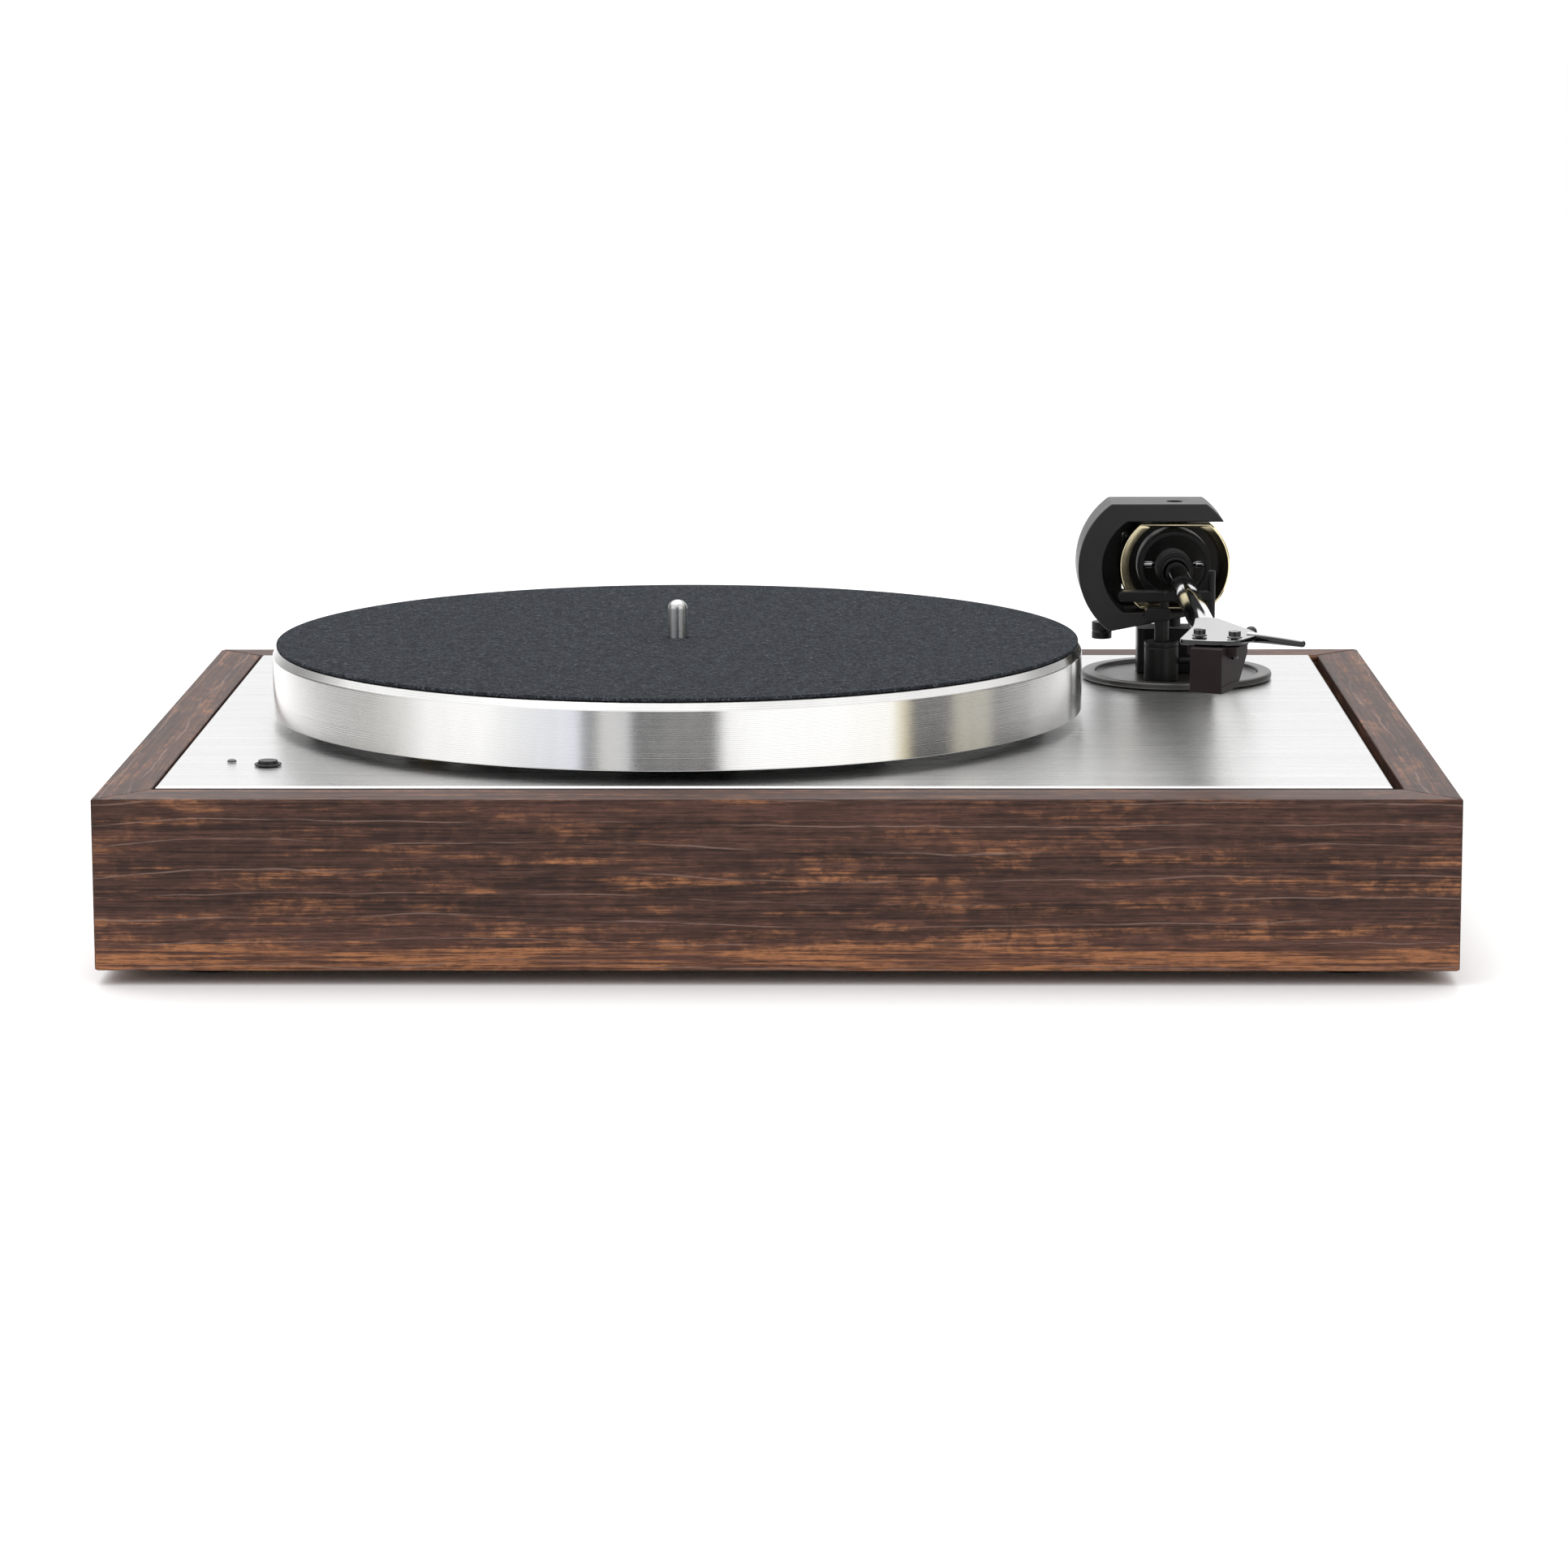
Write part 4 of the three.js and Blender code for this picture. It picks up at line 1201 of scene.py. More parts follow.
@dataclass
class PlatterStack:
    """Platter, felt mat and spindle."""

    shop: Workshop
    chamfer: float = 1.7 * MM
    chamfer_height: float = 2.8 * MM
    shaft_radius: float = 5.3 * MM
    wall: float = 13 * MM
    roof: float = 6.5 * MM
    mat_hole: float = 3.95 * MM
    tip: float = 3.6 * MM
    tip_dome: float = 3.2 * MM
    sides: int = 256

    def build(self) -> None:
        """Makes the three pieces."""
        box = Extent.of("platter")
        radius = box.size.x / 2
        height = box.size.z
        ceiling = height - self.roof
        rim = [(radius, 0), (radius, height - self.chamfer_height), (radius - self.chamfer, height)]
        profile = [
            (self.shaft_radius, ceiling), (radius - self.wall, ceiling), (radius - self.wall, 0),
            *rim, (self.shaft_radius, height),
        ]
        profile = eased(profile, 0.35 * MM, True)
        piece = self.shop.turn("platter_rim", profile, box.foot, sides=self.sides, closed=True)
        self.shop.fit(piece, "platter", ["platter"], "polished_aluminium")
        self._mat()
        self._spindle()

    def _mat(self) -> None:
        """A disc of felt with a soft cut edge and a hole for the spindle."""
        box = Extent.of("slip_mat")
        radius = box.size.x / 2
        profile = eased(rectangle(self.mat_hole, 0, radius, box.size.z), 0.4 * MM, True)
        piece = self.shop.turn("felt_mat", profile, box.foot, sides=self.sides, closed=True)
        self.shop.fit(piece, "platter", ["slip_mat"], "felt")

    def _spindle(self) -> None:
        """The shaft, with a narrower polished tip that ends in a dome."""
        box = Extent.of("platter_spindle")
        shaft = box.size.x / 2
        height = box.size.z
        neck = height - self.tip_dome
        step = Extent.of("platter").high.z - box.low.z - 1.0 * MM
        profile = [(0, 0), (2 * MM, 0), (shaft, 2 * MM), (shaft, step), (self.tip, step), (self.tip, neck)]
        profile += [*dome(self.tip, neck, self.tip_dome, first=1), (0, height)]
        piece = self.shop.turn("spindle", profile, box.foot)
        self.shop.fit(piece, "platter", ["platter_spindle"], "steel", "spindle_steel")


@dataclass
class RearPanel:
    """Audio jacks, earth terminal and power socket in the rear recess."""

    shop: Workshop
    collar: float = 1.5 * MM
    bottom: float = 2.5 * MM
    jack: Point2 = (4.15 * MM, 1.7 * MM)
    socket: Point2 = (5.4 * MM, 3.2 * MM)

    def build(self) -> None:
        """Makes each connector."""
        self._jack("jack_left", *self.jack, "white_plastic")
        self._jack("jack_right", *self.jack, "red_plastic")
        self._jack("power_socket", *self.socket, "black_plastic")
        box = Extent.of("ground_terminal")
        depth = box.size.y
        radius = box.size.x / 2
        place = Axis.Y.matrix(box.front)
        parts = [
            (knurled(4.4 * MM, 0.0, 8), 0, 1.2 * MM, place),
            (knurled(2.0 * MM, 0.12 * MM, 16), 1.0 * MM, 3.4 * MM, place),
            (knurled(radius, 0.35 * MM, 24), 3.0 * MM, depth, place),
        ]
        piece = self.shop.assembly("earth_terminal", parts, 0.15 * MM)
        self.shop.fit(piece, "plinth", ["ground_terminal"], "brass")

    def _jack(self, node: str, outer: float, inner: float, slot: str) -> None:
        """Makes a round socket with a collar, opening to the rear.

        Args:
            node: the socket's node.
            outer: radius of its barrel.
            inner: radius of its opening.
            slot: the record's slot of its finish.
        """
        box = Extent.of(node)
        depth = box.size.y
        flange = box.size.x / 2
        profile = [
            (0, 0), (flange, 0), (flange, self.collar), (outer, self.collar), (outer, depth), (inner, depth),
            (inner, self.bottom), (0, self.bottom),
        ]
        piece = self.shop.turn(f"{node}_shell", eased(profile, 0.3 * MM, False), box.front, Axis.Y, 64)
        self.shop.fit(piece, "plinth", [node], slot)


# ---------------------------------------------------------------- tonearm support


@dataclass
class ArmStand:
    """Base disc, column, round yoke, arm rest and anti-skate weight."""

    shop: Workshop
    rim_width: float = 5.2 * MM
    rim_rise: float = 1.5 * MM
    radius: float = 31 * MM
    window: float = 21.7 * MM
    window_top: float = 18 * MM
    window_bottom: float = 17.4 * MM
    flat_top: float = 25 * MM
    flat_bottom: float = 24.7 * MM
    bevel: float = 1.1 * MM
    bore: float = 3.2 * MM
    bore_depth: float = 12 * MM
    lip_back: float = 3 * MM
    lip_front: float = 0.2 * MM
    lip_middle: float = 2.1 * MM
    lip_arm: float = 8.1 * MM
    lip_waist: float = 11 * MM
    lip_shoulder: float = 14 * MM
    hex_radius: float = 1.5 * MM
    hex_depth: float = 2 * MM
    post: float = 1.45 * MM
    saddle_thickness: float = 3.4 * MM
    saddle_half: float = 2.2 * MM
    wire: float = 0.9 * MM
    weight_body: float = 6.7 * MM
    weight_thread: float = 0.3 * MM

    def build(self) -> None:
        """Makes every piece of the stand."""
        self._base()
        self._column()
        self._yoke()
        self._screws()
        self._rest()
        self._antiskate()

    def _base(self) -> None:
        """Disc with a rounded raised rim."""
        box = Extent.of("arm_base")
        radius = box.size.x / 2
        top = box.size.z
        inner = radius - self.rim_width
        floor = top - self.rim_rise
        profile = [(0, 0), (radius, 0), (radius, top), (inner, top), (inner - 0.4 * MM, floor), (0, floor)]
        piece = self.shop.turn("base_disc", eased(profile, 1.3 * MM, False, 6), box.foot, sides=160)
        self.shop.fit(piece, "plinth", ["arm_base"], "satin_black", "base_black")

    def _column(self) -> None:
        """Short column between the disc and the yoke."""
        box = Extent.of("arm_column")
        rounded = eased(rectangle(box.low.x, box.low.y, box.high.x, box.high.y), 3 * MM, True, 6)
        piece = self.shop.prism("column_block", rounded, box.low.z, box.high.z, Axis.Z, 0.4 * MM)
        self.shop.fit(piece, "plinth", ["arm_column"], "satin_black", "deep_black")

    def _yoke_outline(self, centre: Point2) -> list[Point2]:
        """Outline of the open ring, seen from the front.

        Args:
            centre: its middle, across and up.

        Returns:
            The corners, across and up.
        """
        top = math.degrees(math.asin(self.flat_top / self.radius))
        bottom = math.degrees(math.asin(self.flat_bottom / self.radius))
        tip = math.degrees(math.asin(self.window_top / self.radius))
        inner_top = math.degrees(math.asin(self.window_top / self.window))
        inner_bottom = math.degrees(math.asin(self.window_bottom / self.window))
        return [
            *arc(centre, self.radius, tip, top, 8),
            *arc(centre, self.radius, 180 - top, 180 + bottom, 48),
            (centre[0] + self.radius * math.cos(math.radians(bottom)), centre[1] - self.window_bottom),
            *arc(centre, self.window, 180 + inner_bottom, 180 - inner_top, 36),
        ]

    def _yoke(self) -> None:
        """Round frame, open towards the right, with a lip behind its left side and a bored top."""
        box = Extent.of("yoke")
        centre = (box.low.x + self.radius, box.high.z - self.flat_top)
        outline = [(z, x) for x, z in self._yoke_outline(centre)]
        frame = self.shop.prism("yoke_frame", outline, box.low.y, box.high.y, Axis.Y, self.bevel)
        bore = rectangle(0, 0, self.bore, self.bore_depth)
        drill = self.shop.turn("bore_tool", bore, Extent.of("pivot_screw_top").foot, sides=64)
        self.shop.drill(frame, drill)
        self.shop.fit(frame, "plinth", ["yoke"], "satin_black")

        x, z = centre
        left = x - self.window - 1 * MM
        low = z - self.window_bottom - 1 * MM
        high = z + self.window_top + 1 * MM
        middle = Extent.of("gimbal_ring").low.x + self.lip_middle
        reach = middle + self.lip_arm
        corners = [
            (low, left), (low, reach), (z - self.lip_shoulder, reach), (z - self.lip_waist, middle),
            (z + self.lip_waist, middle), (z + self.lip_shoulder, reach), (high, reach), (high, left),
        ]
        back = box.high.y
        depth = (back - self.lip_back, back - self.lip_front)
        piece = self.shop.prism("yoke_lip", corners, *depth, Axis.Y, 0.3 * MM)
        self.shop.fit(piece, "plinth", ["yoke"], "satin_black", "deep_black")

    def _screws(self) -> None:
        """Upper pivot screw with a hexagon socket."""
        box = Extent.of("pivot_screw_top")
        radius = box.size.x / 2
        height = box.size.z
        floor = height - self.hex_depth
        profile = [
            (0, 0), (radius, 0), (radius, height), (self.hex_radius, height),
            (self.hex_radius, floor), (0, floor),
        ]
        piece = self.shop.turn("pivot_screw", eased(profile, 0.25 * MM, False), box.foot, sides=48)
        self.shop.fit(piece, "plinth", ["pivot_screw_top"], "satin_black")

    def _rest(self) -> None:
        """Round post and a saddle under the tube."""
        box = Extent.of("arm_rest")
        x = box.high.x - self.post
        y = box.centre.y
        top = Extent.of("arm_tube").low.z - 0.3 * MM
        bottom = top - self.saddle_thickness
        saddle = [(top, x), (top, box.low.x), (bottom, box.low.x), (bottom, x)]
        parts = [
            (circle(self.post, 32), box.low.z, box.high.z, Matrix.Translation((x, y, 0))),
            (
                eased(saddle, 1.2 * MM, True), y - self.saddle_half, y + self.saddle_half,
                Axis.Y.matrix(Vector()),
            ),
        ]
        piece = self.shop.assembly("rest_post", parts, 0.4 * MM)
        self.shop.fit(piece, "plinth", ["arm_rest"], "satin_black", "deep_black")

    def _antiskate(self) -> None:
        """Wire hook behind the yoke, and the weight that hangs from it."""
        hook = Extent.of("antiskate_hook")
        x, z = hook.centre.x, hook.centre.z
        points = [(x, hook.low.y, z), (x, hook.centre.y, z), (x, hook.high.y, z)]
        piece = self.shop.sweep("hook_wire", points, lambda share: self.wire, 24, 12)
        self.shop.fit(piece, "plinth", ["antiskate_hook"], "steel")
        box = Extent.of("antiskate_weight")
        radius = box.size.x / 2
        body = self.weight_body
        thread = self.weight_thread
        profile = [
            (0, 0), (radius, 0), (radius, 0.4 * body), (radius - 0.3 * MM, 0.45 * body), (radius, 0.5 * body),
            (radius, body), (thread, body), (thread, box.size.z), (0, box.size.z),
        ]
        piece = self.shop.turn("skate_weight", eased(profile, 0.35 * MM, False), box.foot, sides=48)
        self.shop.fit(piece, "skate", ["antiskate_weight"], "satin_black")


@dataclass
class ArmLift:
    """Damped lift with its bar, and the lever that raises it."""

    shop: Workshop
    stem_radius: float = 2.85 * MM
    lever_radius: float = 1.3 * MM
    lever_taper: float = 0.2
    neck_radius: float = 1.6 * MM
    neck_shift: float = 1 * MM
    block_top: float = 6.6 * MM
    block_bottom: float = 11.4 * MM
    block_corner: float = 2.9 * MM
    bend: float = 3.4 * MM

    def build(self) -> None:
        """Makes the four pieces."""
        self._cylinder()
        self._stem()
        self._bar()
        self._lever()

    def _cylinder(self) -> None:
        """Cylinder with a lip, open at the top for the stem."""
        box = Extent.of("lift_cylinder")
        radius = box.size.x / 2
        height = box.size.z
        bore = self.stem_radius + 0.3 * MM
        profile = [
            (0, 0), (radius, 0), (radius, height - 2.4 * MM), (radius - 0.25 * MM, height - 2.2 * MM),
            (radius - 0.25 * MM, height - 1.9 * MM), (radius, height - 1.7 * MM), (radius, height),
            (bore, height), (bore, 2 * MM), (0, 2 * MM),
        ]
        piece = self.shop.turn("lift_body", eased(profile, 0.45 * MM, False), box.foot)
        self.shop.fit(piece, "plinth", ["lift_cylinder"], "satin_black", "deep_black")

    def _stem(self) -> None:
        """Stem, the block on it with one rounded shoulder, and the neck that holds the bar."""
        box = Extent.of("lift_stem")
        bar = Extent.of("lift_bar")
        cylinder = Extent.of("lift_cylinder")
        x, y = cylinder.centre.x, cylinder.centre.y
        top = bar.high.z - self.block_top
        bottom = bar.high.z - self.block_bottom
        block = [
            (top, box.low.x), (top, box.high.x), (bottom, box.high.x),
            (bottom, x - self.block_corner), (bottom, box.low.x),
        ]
        stem = circle(self.stem_radius, 48)
        neck = circle(self.neck_radius, 48)
        parts = [
            (stem, box.low.z, bottom + 0.5 * MM, Matrix.Translation((x, y, 0))),
            (eased(block, 2.2 * MM, True, 6), box.low.y, box.high.y, Axis.Y.matrix(Vector())),
            (neck, top - 0.5 * MM, box.high.z, Matrix.Translation((x + self.neck_shift, y, 0))),
        ]
        piece = self.shop.assembly("lift_post", parts, 0.35 * MM)
        self.shop.fit(piece, "lift", ["lift_stem"], "black_alloy")

    def _bar(self) -> None:
        """Bar with round ends that carries the tube."""
        box = Extent.of("lift_bar")
        half = box.size.z / 2
        z = box.centre.z
        left = arc((box.low.x + half, z), half, 90, 270, 12)
        right = arc((box.high.x - half, z), half, -90, 90, 12)
        outline = [(up, across) for across, up in [*left, *right]]
        piece = self.shop.prism("lift_rail", outline, box.low.y, box.high.y, Axis.Y, 0.6 * MM)
        self.shop.fit(piece, "lift", ["lift_bar"], "black_alloy")

    def _lever(self) -> None:
        """Bent rod and the round knob on its end."""
        rod = Extent.of("cue_lever")
        knob = Extent.of("cue_knob")
        axle_y = rod.high.y - self.lever_radius
        axle_z = rod.low.z + self.lever_radius
        bend = knob.centre.x - self.bend
        points = [
            (rod.low.x, axle_y, axle_z), (bend - 4 * MM, axle_y, axle_z),
            (bend, axle_y - 3 * MM, axle_z + 1.6 * MM),
            (knob.centre.x, knob.centre.y + 2 * MM, knob.centre.z - 1.1 * MM),
        ]

        def slimmed(share: float) -> float:
            """The rod's radius, which shrinks towards the knob."""
            return self.lever_radius * (1 - self.lever_taper * share)

        piece = self.shop.sweep("lever_rod", points, slimmed)
        self.shop.fit(piece, "lever", ["cue_lever"], "steel", "deep_black")
        radius = knob.size.x / 2
        angles = [math.pi * k / 24 for k in range(1, 24)]
        ball = [(radius * math.sin(a), -radius * math.cos(a)) for a in angles]
        ball = [(0, -radius), *ball, (0, radius)]
        piece = self.shop.turn("lever_knob", ball, knob.centre, sides=48)
        self.shop.fit(piece, "lever", ["cue_knob"], "black_plastic")


# ---------------------------------------------------------------- tonearm


@dataclass
class Tonearm:
    """Gimbal, tube, headshell, cartridge and balance weight."""

    shop: Workshop
    band: float = 3.9 * MM
    band_flat: float = 1.7 * MM
    dish: float = 1.7 * MM
    cradle_wall: float = 2.4 * MM
    pin_point: float = 1.3 * MM
    hub_bore: float = 4.75 * MM
    hub_nose: float = 5.6 * MM
    stub_shank: float = 3.1 * MM
    stub_pitch: float = 1.0 * MM
    stub_flange: float = 3 * MM
    weight_bore: float = 3.5 * MM
    groove_depth: float = 0.5 * MM
    plate_edge: float = 0.45 * MM
    finger: float = 1.9 * MM
    finger_taper: float = 0.35
    finger_end: float = 0.94
    screw_head: Point2 = (2.6 * MM, 2.4 * MM)
    screw_shank: float = 1.2 * MM
    cartridge_front: float = 11.5 * MM
    cartridge_half: float = 5.7 * MM

    def build(self) -> None:
        """Makes every piece of the arm."""
        self._gimbal()
        self._hub()
        self._tube()
        self._weight()
        self._head()
        self._cartridge()

    def _gimbal(self) -> None:
        """Polished outer ring with flat top and bottom, and the black cradle inside it."""
        box = Extent.of("gimbal_ring")
        radius = box.size.x / 2
        half = box.size.z / 2
        centre = (box.centre.x, box.centre.z)

        def sliced(trim: float, flat_trim: float) -> list[Point2]:
            """The ring's outline made smaller all round.

            Args:
                trim: how much smaller its radius is.
                flat_trim: how much lower its flats are.

            Returns:
                The corners, up and across.
            """
            reach = radius - trim
            cut = math.degrees(math.asin((half - flat_trim) / reach))
            outline = [*arc(centre, reach, -cut, cut, 40), *arc(centre, reach, 180 - cut, 180 + cut, 40)]
            return [(up, across) for across, up in outline]

        front, back = box.low.y, box.high.y
        outer = sliced(0.0, 0.0)
        inner = sliced(self.band, self.band_flat)
        loops = [
            (outer, back), (outer, front + 0.5 * MM), (sliced(0.5 * MM, 0.4 * MM), front),
            (sliced(0.9 * MM, 0.85 * MM), front), (inner, front + self.dish), (inner, back),
        ]
        piece = self.shop.loft("gimbal_band", loops, Axis.Y, 0.12 * MM)
        self.shop.fit(piece, "gimbal", ["gimbal_ring"], "golden")

        cradle = Extent.of("gimbal_cradle")
        outside = cradle.size.x / 2
        inside = outside - self.cradle_wall
        depth = cradle.size.y
        profile = [
            (inside, 0), (outside - 0.7 * MM, 0), (outside - 0.7 * MM, 1.6 * MM), (outside, 1.9 * MM),
            (outside, depth), (inside, depth), (inside, 3 * MM), (inside + 0.5 * MM, 2.6 * MM),
            (inside + 0.5 * MM, 1.4 * MM), (inside, 1 * MM),
        ]
        piece = self.shop.turn("cradle_ring", eased(profile, 0.3 * MM, True), cradle.front, Axis.Y, 128, True)
        self.shop.fit(piece, "gimbal", ["gimbal_cradle"], "satin_black", "deep_black")
        for node in ("gimbal_pin_left", "gimbal_pin_right"):
            self._pin(node)

    def _pin(self, node: str) -> None:
        """Makes a pointed horizontal pivot pin; its point faces the hub.

        Args:
            node: the pin's node.
        """
        box = Extent.of(node)
        hub = Extent.of("arm_hub")
        radius = box.size.z / 2
        length = box.size.x
        profile = [(0, 0), (radius, 0), (radius, length - self.pin_point), (0.35 * MM, length), (0, length)]
        if box.centre.x > hub.centre.x:
            profile = [(r, length - h) for r, h in reversed(profile)]
        origin = Vector((box.low.x, box.centre.y, box.centre.z))
        piece = self.shop.turn(f"{node}_point", eased(profile, 0.2 * MM, False), origin, Axis.X, 32)
        self.shop.fit(piece, "gimbal", [node], "steel", "pin_steel")

    def _hub(self) -> None:
        """Stepped hub around the tube."""
        box = Extent.of("arm_hub")
        radius = box.size.x / 2
        length = box.size.y
        bore, nose = self.hub_bore, self.hub_nose
        profile = [
            (bore, 0), (nose, 0), (nose, 4.2 * MM), (nose + 0.5 * MM, 5 * MM), (radius, 5 * MM),
            (radius, 8 * MM), (radius - 0.4 * MM, 8.3 * MM), (radius - 0.4 * MM, 9 * MM),
            (radius, 9.3 * MM), (radius, length), (bore, length),
        ]
        piece = self.shop.turn("hub_collar", eased(profile, 0.3 * MM, True), box.front, Axis.Y, 96, True)
        self.shop.fit(piece, "arm", ["arm_hub"], "satin_black", "deep_black")

    def _tube(self) -> None:
        """Polished tube with a closed, softly rounded front end, and the threaded stub behind."""
        box = Extent.of("arm_tube")
        profile = rectangle(0, 0, box.size.x / 2, box.size.y)
        piece = self.shop.turn("arm_pipe", eased(profile, 0.5 * MM, False), box.front, Axis.Y, 96)
        self.shop.fit(piece, "arm", ["arm_tube"], "mirror_aluminium")

        stub = Extent.of("arm_stub")
        shank, pitch, flange = self.stub_shank, self.stub_pitch, self.stub_flange
        length = stub.size.y
        profile = [(0, 0), (stub.size.x / 2, 0), (stub.size.x / 2, flange), (shank - 0.3 * MM, flange)]
        along = flange + pitch
        while along < length - 1.2 * MM:
            profile += [(shank, along), (shank - 0.3 * MM, along + 0.5 * pitch)]
            along += pitch
        profile += [(shank - 0.4 * MM, length), (0, length)]
        piece = self.shop.turn("threaded_stub", profile, stub.front, Axis.Y, 48)
        self.shop.fit(piece, "arm", ["arm_stub"], "steel")

    def _weight(self) -> None:
        """Balance weight bored for the stub, with two grooves round it."""
        box = Extent.of("counterweight")
        radius = box.size.x / 2
        depth = box.size.y
        bore = self.weight_bore
        floor = radius - self.groove_depth
        outline = [(bore, 0), (radius, 0)]
        for along in (depth - 6 * MM, depth - 4.2 * MM):
            outline += [(radius, along - 0.4 * MM), (floor, along - 0.3 * MM)]
            outline += [(floor, along + 0.3 * MM), (radius, along + 0.4 * MM)]
        outline += [(radius, depth), (bore, depth)]
        piece = self.shop.turn("balance_weight", eased(outline, 0.9 * MM, True), box.front, Axis.Y, 128, True)
        self.shop.fit(piece, "balance", ["counterweight"], "black_alloy")

    def _head_place(self) -> Matrix:
        """Places things on the headshell.

        Returns:
            What takes its own axes, finger side first and forward second, to the row frame.
        """
        left = Extent.of("head_screw_left").centre
        right = Extent.of("head_screw_right").centre
        middle = (left + right) / 2
        across = (right - left).normalized()
        forward = Vector((across.y, -across.x, 0))
        return directed(across, forward, Vector((0, 0, 1)), Vector((middle.x, middle.y, 0)))

    def _head(self) -> None:
        """Flared plate with an asymmetric front, its finger lift and two cartridge screws."""
        box = Extent.of("headshell")
        tube = Extent.of("arm_tube")
        rear = box.high.y
        middle = tube.centre.x
        left, right, nose = box.low.x, box.high.x, box.low.y
        outline = [
            (middle - 4.0 * MM, rear), (middle - 5.8 * MM, rear - 19.7 * MM), (left, rear - 51.2 * MM),
            (left + 0.3 * MM, rear - 53.7 * MM), (left + 2.7 * MM, rear - 55.1 * MM),
            (middle - 0.8 * MM, rear - 58.3 * MM), (middle + 5.6 * MM, nose + 0.1 * MM),
            (middle + 8.4 * MM, nose + 2.8 * MM), (right - 0.2 * MM, rear - 44.5 * MM),
            (right, rear - 35.7 * MM), (right - 5 * MM, rear - 18.7 * MM), (middle + 4.0 * MM, rear),
        ]
        outline = eased(outline, 6 * MM, True, 8)
        piece = self.shop.prism("head_plate", outline, box.low.z, box.high.z, Axis.Z, self.plate_edge)
        self.shop.fit(piece, "arm", ["headshell"], "mirror_aluminium", "plated")

        place = self._head_place()
        z = box.high.z - 1 * MM
        route = [(7, -12.4, 0.0), (14, -12.1, 0.2), (22, -11.6, 0.7), (28.2, -11, 1.1)]
        points = [tuple(place @ Vector((a * MM, b * MM, z - c * MM))) for a, b, c in route]

        def rounded(share: float) -> float:
            """The finger lift's radius, which shrinks towards its round end."""
            swell = self.finger * (1 - self.finger_taper * share)
            if share > self.finger_end:
                swell *= math.sqrt(max(0.05, 1 - ((share - self.finger_end) / 0.06) ** 2))
            return swell

        piece = self.shop.sweep("finger_rod", points, rounded)
        self.shop.fit(piece, "arm", ["finger_lift"], "mirror_aluminium", "plated")
        for node in ("head_screw_left", "head_screw_right"):
            self._head_screw(node)

    def _head_screw(self, node: str) -> None:
        """Makes a screw with a tall slotted head and a washer.

        Args:
            node: the screw's node.
        """
        box = Extent.of(node)
        radius, head = self.screw_head
        height = box.size.z
        shank = self.screw_shank
        seat = height - head
        profile = [
            (0, 0), (shank, 0), (shank, seat), (radius, seat), (radius, seat + 0.5 * MM),
            (radius - 0.5 * MM, seat + 0.6 * MM), (radius - 0.5 * MM, height), (0, height),
        ]
        origin = box.foot
        piece = self.shop.turn(f"{node}_cap", eased(profile, 0.15 * MM, False), origin, sides=48)
        across = self._head_place().to_3x3() @ Vector((1, 0, 0))
        start = Vector((origin.x, origin.y, box.high.z)) - 4 * MM * across
        slot = rectangle(-0.32 * MM, -1.0 * MM, 0.32 * MM, 1.0 * MM)
        place = directed(Vector((-across.y, across.x, 0)), Vector((0, 0, 1)), across, start)
        tool = self.shop.assembly("slot_tool", [(slot, 0, 8 * MM, place)], 0.0)
        self.shop.drill(piece, tool)
        self.shop.fit(piece, "arm", [node], "steel", "plated")

    def _cartridge(self) -> None:
        """Cartridge body with mounting shoulders and a thin seam."""
        box = Extent.of("cartridge_body")
        place = self._head_place()
        top = box.high.z
        bottom = box.low.z
        front, half = self.cartridge_front, self.cartridge_half
        side = [
            (front, bottom + 0.2 * MM), (front, top), (-16 * MM, top), (-16 * MM, top - 4.5 * MM),
            (-7 * MM, bottom + 1.6 * MM), (2 * MM, bottom),
        ]
        along_x = Matrix(((0, 0, 1, 0), (1, 0, 0, 0), (0, 1, 0, 0), (0, 0, 0, 1)))
        ears = rectangle(-8.9 * MM, -6 * MM, 8.9 * MM, 6 * MM)
        seam = rectangle(-6 * MM, bottom + 2.4 * MM, front - 0.2 * MM, bottom + 3 * MM)
        parts = [
            (eased(side, 0.8 * MM, True, 3), -half, half, place @ along_x),
            (eased(ears, 1.2 * MM, True, 4), top - 3.2 * MM, top, place),
            (seam, -half - 0.15 * MM, half + 0.15 * MM, place @ along_x),
        ]
        piece = self.shop.assembly("cartridge_shell", parts, 0.3 * MM)
        self.shop.fit(piece, "arm", ["cartridge_body"], "cartridge_brown")


# ---------------------------------------------------------------- studio


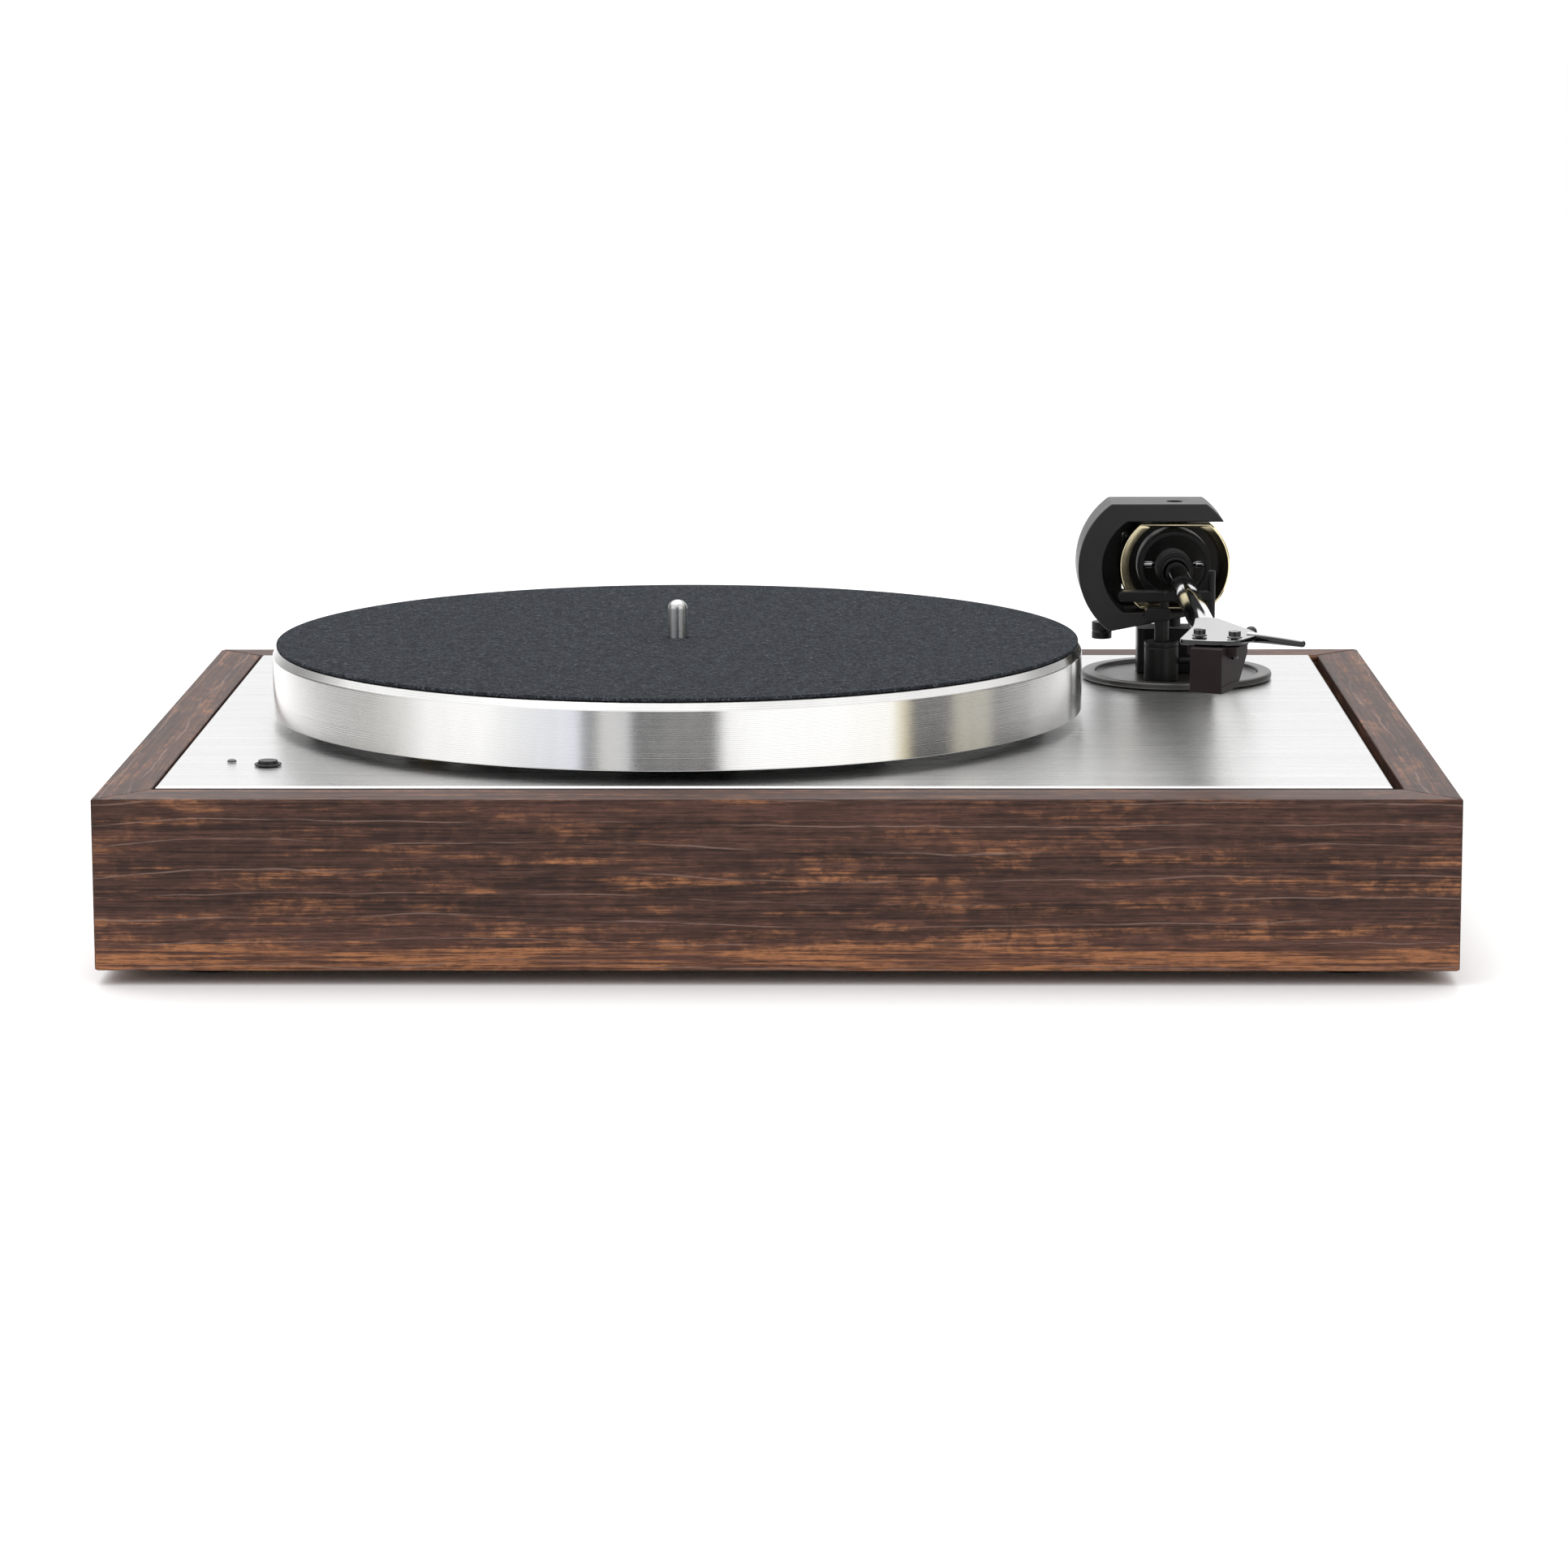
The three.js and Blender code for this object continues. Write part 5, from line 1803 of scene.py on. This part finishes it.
@dataclass
class Studio:
    """White floor, soft light and the camera."""

    position: Point3 = (0.02514, -1.79434, 0.35058)
    yaw: float = -0.789
    pitch: float = 9.857
    roll: float = -0.134
    lens: float = 112.26
    sensor: float = 36.0
    room: float = 2.0
    ceiling: float = 0.58
    horizon: float = 0.25
    overhead: float = 0.6
    floor_reach: float = 12.0
    floor_shade: float = 0.93
    panels: tuple[tuple[float, float, float], ...] = (
        (-180, 0.02, 0.1), (-170, 0.02, -0.2), (-168, 0.36, -0.1), (-161, 0.37, 0.1), (-159, 0.10, -0.2),
        (-156, 0.10, -0.3), (-154, 0.50, -0.3), (-140, 0.52, -0.1), (-125, 0.7, 0.0), (-108, 0.66, 0.0),
        (-98, 0.40, 0.1), (-88, 0.22, 0.2), (-70, 0.10, 0.1), (-50, 0.12, 0.0), (-30, 0.25, 0.0),
        (-16, 0.53, 0.0), (16, 0.53, 0.0), (30, 0.25, 0.0), (48, 0.10, 0.1), (58, 0.12, 0.2),
        (64, 0.02, 0.2), (77, 0.02, 0.2), (83, 0.22, 0.5), (93, 0.22, 0.6), (98, 0.02, 0.4),
        (109, 0.02, 0.3), (113, 0.40, 0.9), (117, 0.72, 0.1), (155, 0.75, 0.0), (165, 0.6, 0.0),
        (168, 0.02, 0.1), (180, 0.02, 0.1),
    )

    def build(self) -> None:
        """Sets up the studio."""
        bpy.context.scene.view_settings.view_transform = "Standard"
        self._camera()
        self._floor()
        self._world()
        self._light("key", position=(-0.2, 0.5, 1.6), target=(0.0, 0.0, 0.08), size=2.2, power=26.0)

    def _camera(self) -> None:
        """Aims the camera by its yaw, pitch and roll."""
        yaw, pitch, roll = (math.radians(value) for value in (self.yaw, self.pitch, self.roll))
        forward = Vector((math.sin(yaw) * math.cos(pitch), math.cos(yaw) * math.cos(pitch), -math.sin(pitch)))
        level = Vector((math.cos(yaw), -math.sin(yaw), 0))
        raised = level.cross(forward)
        right = math.cos(roll) * level + math.sin(roll) * raised
        up = math.cos(roll) * raised - math.sin(roll) * level
        data = bpy.data.cameras.new("camera")
        data.lens = self.lens
        data.sensor_width = self.sensor
        camera = bpy.data.objects.new("camera", data)
        camera.matrix_world = directed(right, up, -forward, Vector(self.position))
        bpy.context.scene.collection.objects.link(camera)
        bpy.context.scene.camera = camera

    def _floor(self) -> None:
        """A wide pale floor."""
        reach = self.floor_reach
        corners = [(x, y, 0) for x, y in rectangle(-reach, -reach, reach, reach)]
        mesh = bpy.data.meshes.new("floor")
        mesh.from_pydata(corners, [], [(0, 1, 2, 3)])
        floor = bpy.data.objects.new("floor", mesh)
        bpy.context.scene.collection.objects.link(floor)
        graph = Surface("studio_floor")
        graph.dress({"Base Color": (self.floor_shade,) * 3, "Roughness": 0.6})
        mesh.materials.append(graph.material)

    def _world(self) -> None:
        """White room whose front half holds dark stands and bright panels, for the metal to show."""
        world = bpy.data.worlds.new("studio_world")
        bpy.context.scene.world = world
        world.use_nodes = True
        graph = Graph(world.node_tree)
        x, y, z = graph.split(graph.node("ShaderNodeTexCoord", output="Generated"))
        turn = graph.node("ShaderNodeMath", {"operation": "ARCTAN2"}, {0: x, 1: y})
        stops = [(self._share(angle), self._tinted(value, warmth)) for angle, value, warmth in self.panels]
        bands = graph.node("ShaderNodeValToRGB", {"stops": stops}, {0: turn / math.tau + 0.5})
        colour = graph.blend(z.step(self.horizon, self.overhead), bands, (self.ceiling,) * 3)
        background = world.node_tree.nodes["Background"]
        world.node_tree.links.new(colour.socket, background.inputs[0])
        background.inputs[1].default_value = self.room

    @staticmethod
    def _tinted(value: float, warmth: float) -> Colour:
        """A grey turned towards gold, or towards blue when the warmth is below zero."""
        return value * (1 + 0.15 * warmth), value, value * (1 - 0.4 * warmth)

    @staticmethod
    def _share(degrees: float) -> float:
        """Where an angle from the back, positive to the right, falls between 0 and 1."""
        return (degrees + 180.0) / 360.0

    @staticmethod
    def _light(name: str, position: Point3, target: Point3, size: float, power: float) -> None:
        """Adds a square soft light above.

        Args:
            name: its name.
            position: where it stands.
            target: what it faces.
            size: its side in metres.
            power: watts.
        """
        data = bpy.data.lights.new(name, "AREA")
        data.size = size
        data.energy = power
        light = bpy.data.objects.new(name, data)
        light.location = position
        direction = Vector(target) - Vector(position)
        light.rotation_euler = direction.to_track_quat("-Z", "Y").to_euler()
        bpy.context.scene.collection.objects.link(light)


# ---------------------------------------------------------------- everything together


def dress_frame(frame: dict, finishes: Finishes) -> None:
    """Gives every CAD node the finish of its slot.

    Args:
        frame: what the frame's load returned.
        finishes: the materials by slot.
    """
    for entry in frame["record"]["subparts"]:
        node = entry["node"]
        slot = entry["material_slot"]
        finish = OTHER_FINISH.get(node, slot)
        piece = frame["nodes"][node]
        if not piece.material_slots:
            piece.data.materials.append(finishes[finish])
        for place in piece.material_slots:
            place.material = finishes[finish]


def main() -> None:
    """Builds the record player round its frame."""
    logging.basicConfig(level=logging.INFO, format="%(name)s: %(message)s")
    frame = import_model()
    hub = Extent.of("platter").centre
    finishes = Finishes((hub.x, hub.y, 0.0))
    dress_frame(frame, finishes)
    shop = Workshop(finishes)
    assemblies = [Plinth, Controls, PlatterStack, RearPanel, ArmStand, ArmLift, Tonearm]
    for assembly in assemblies:
        assembly(shop).build()
    Studio().build()


if __name__ == "__main__":
    main()
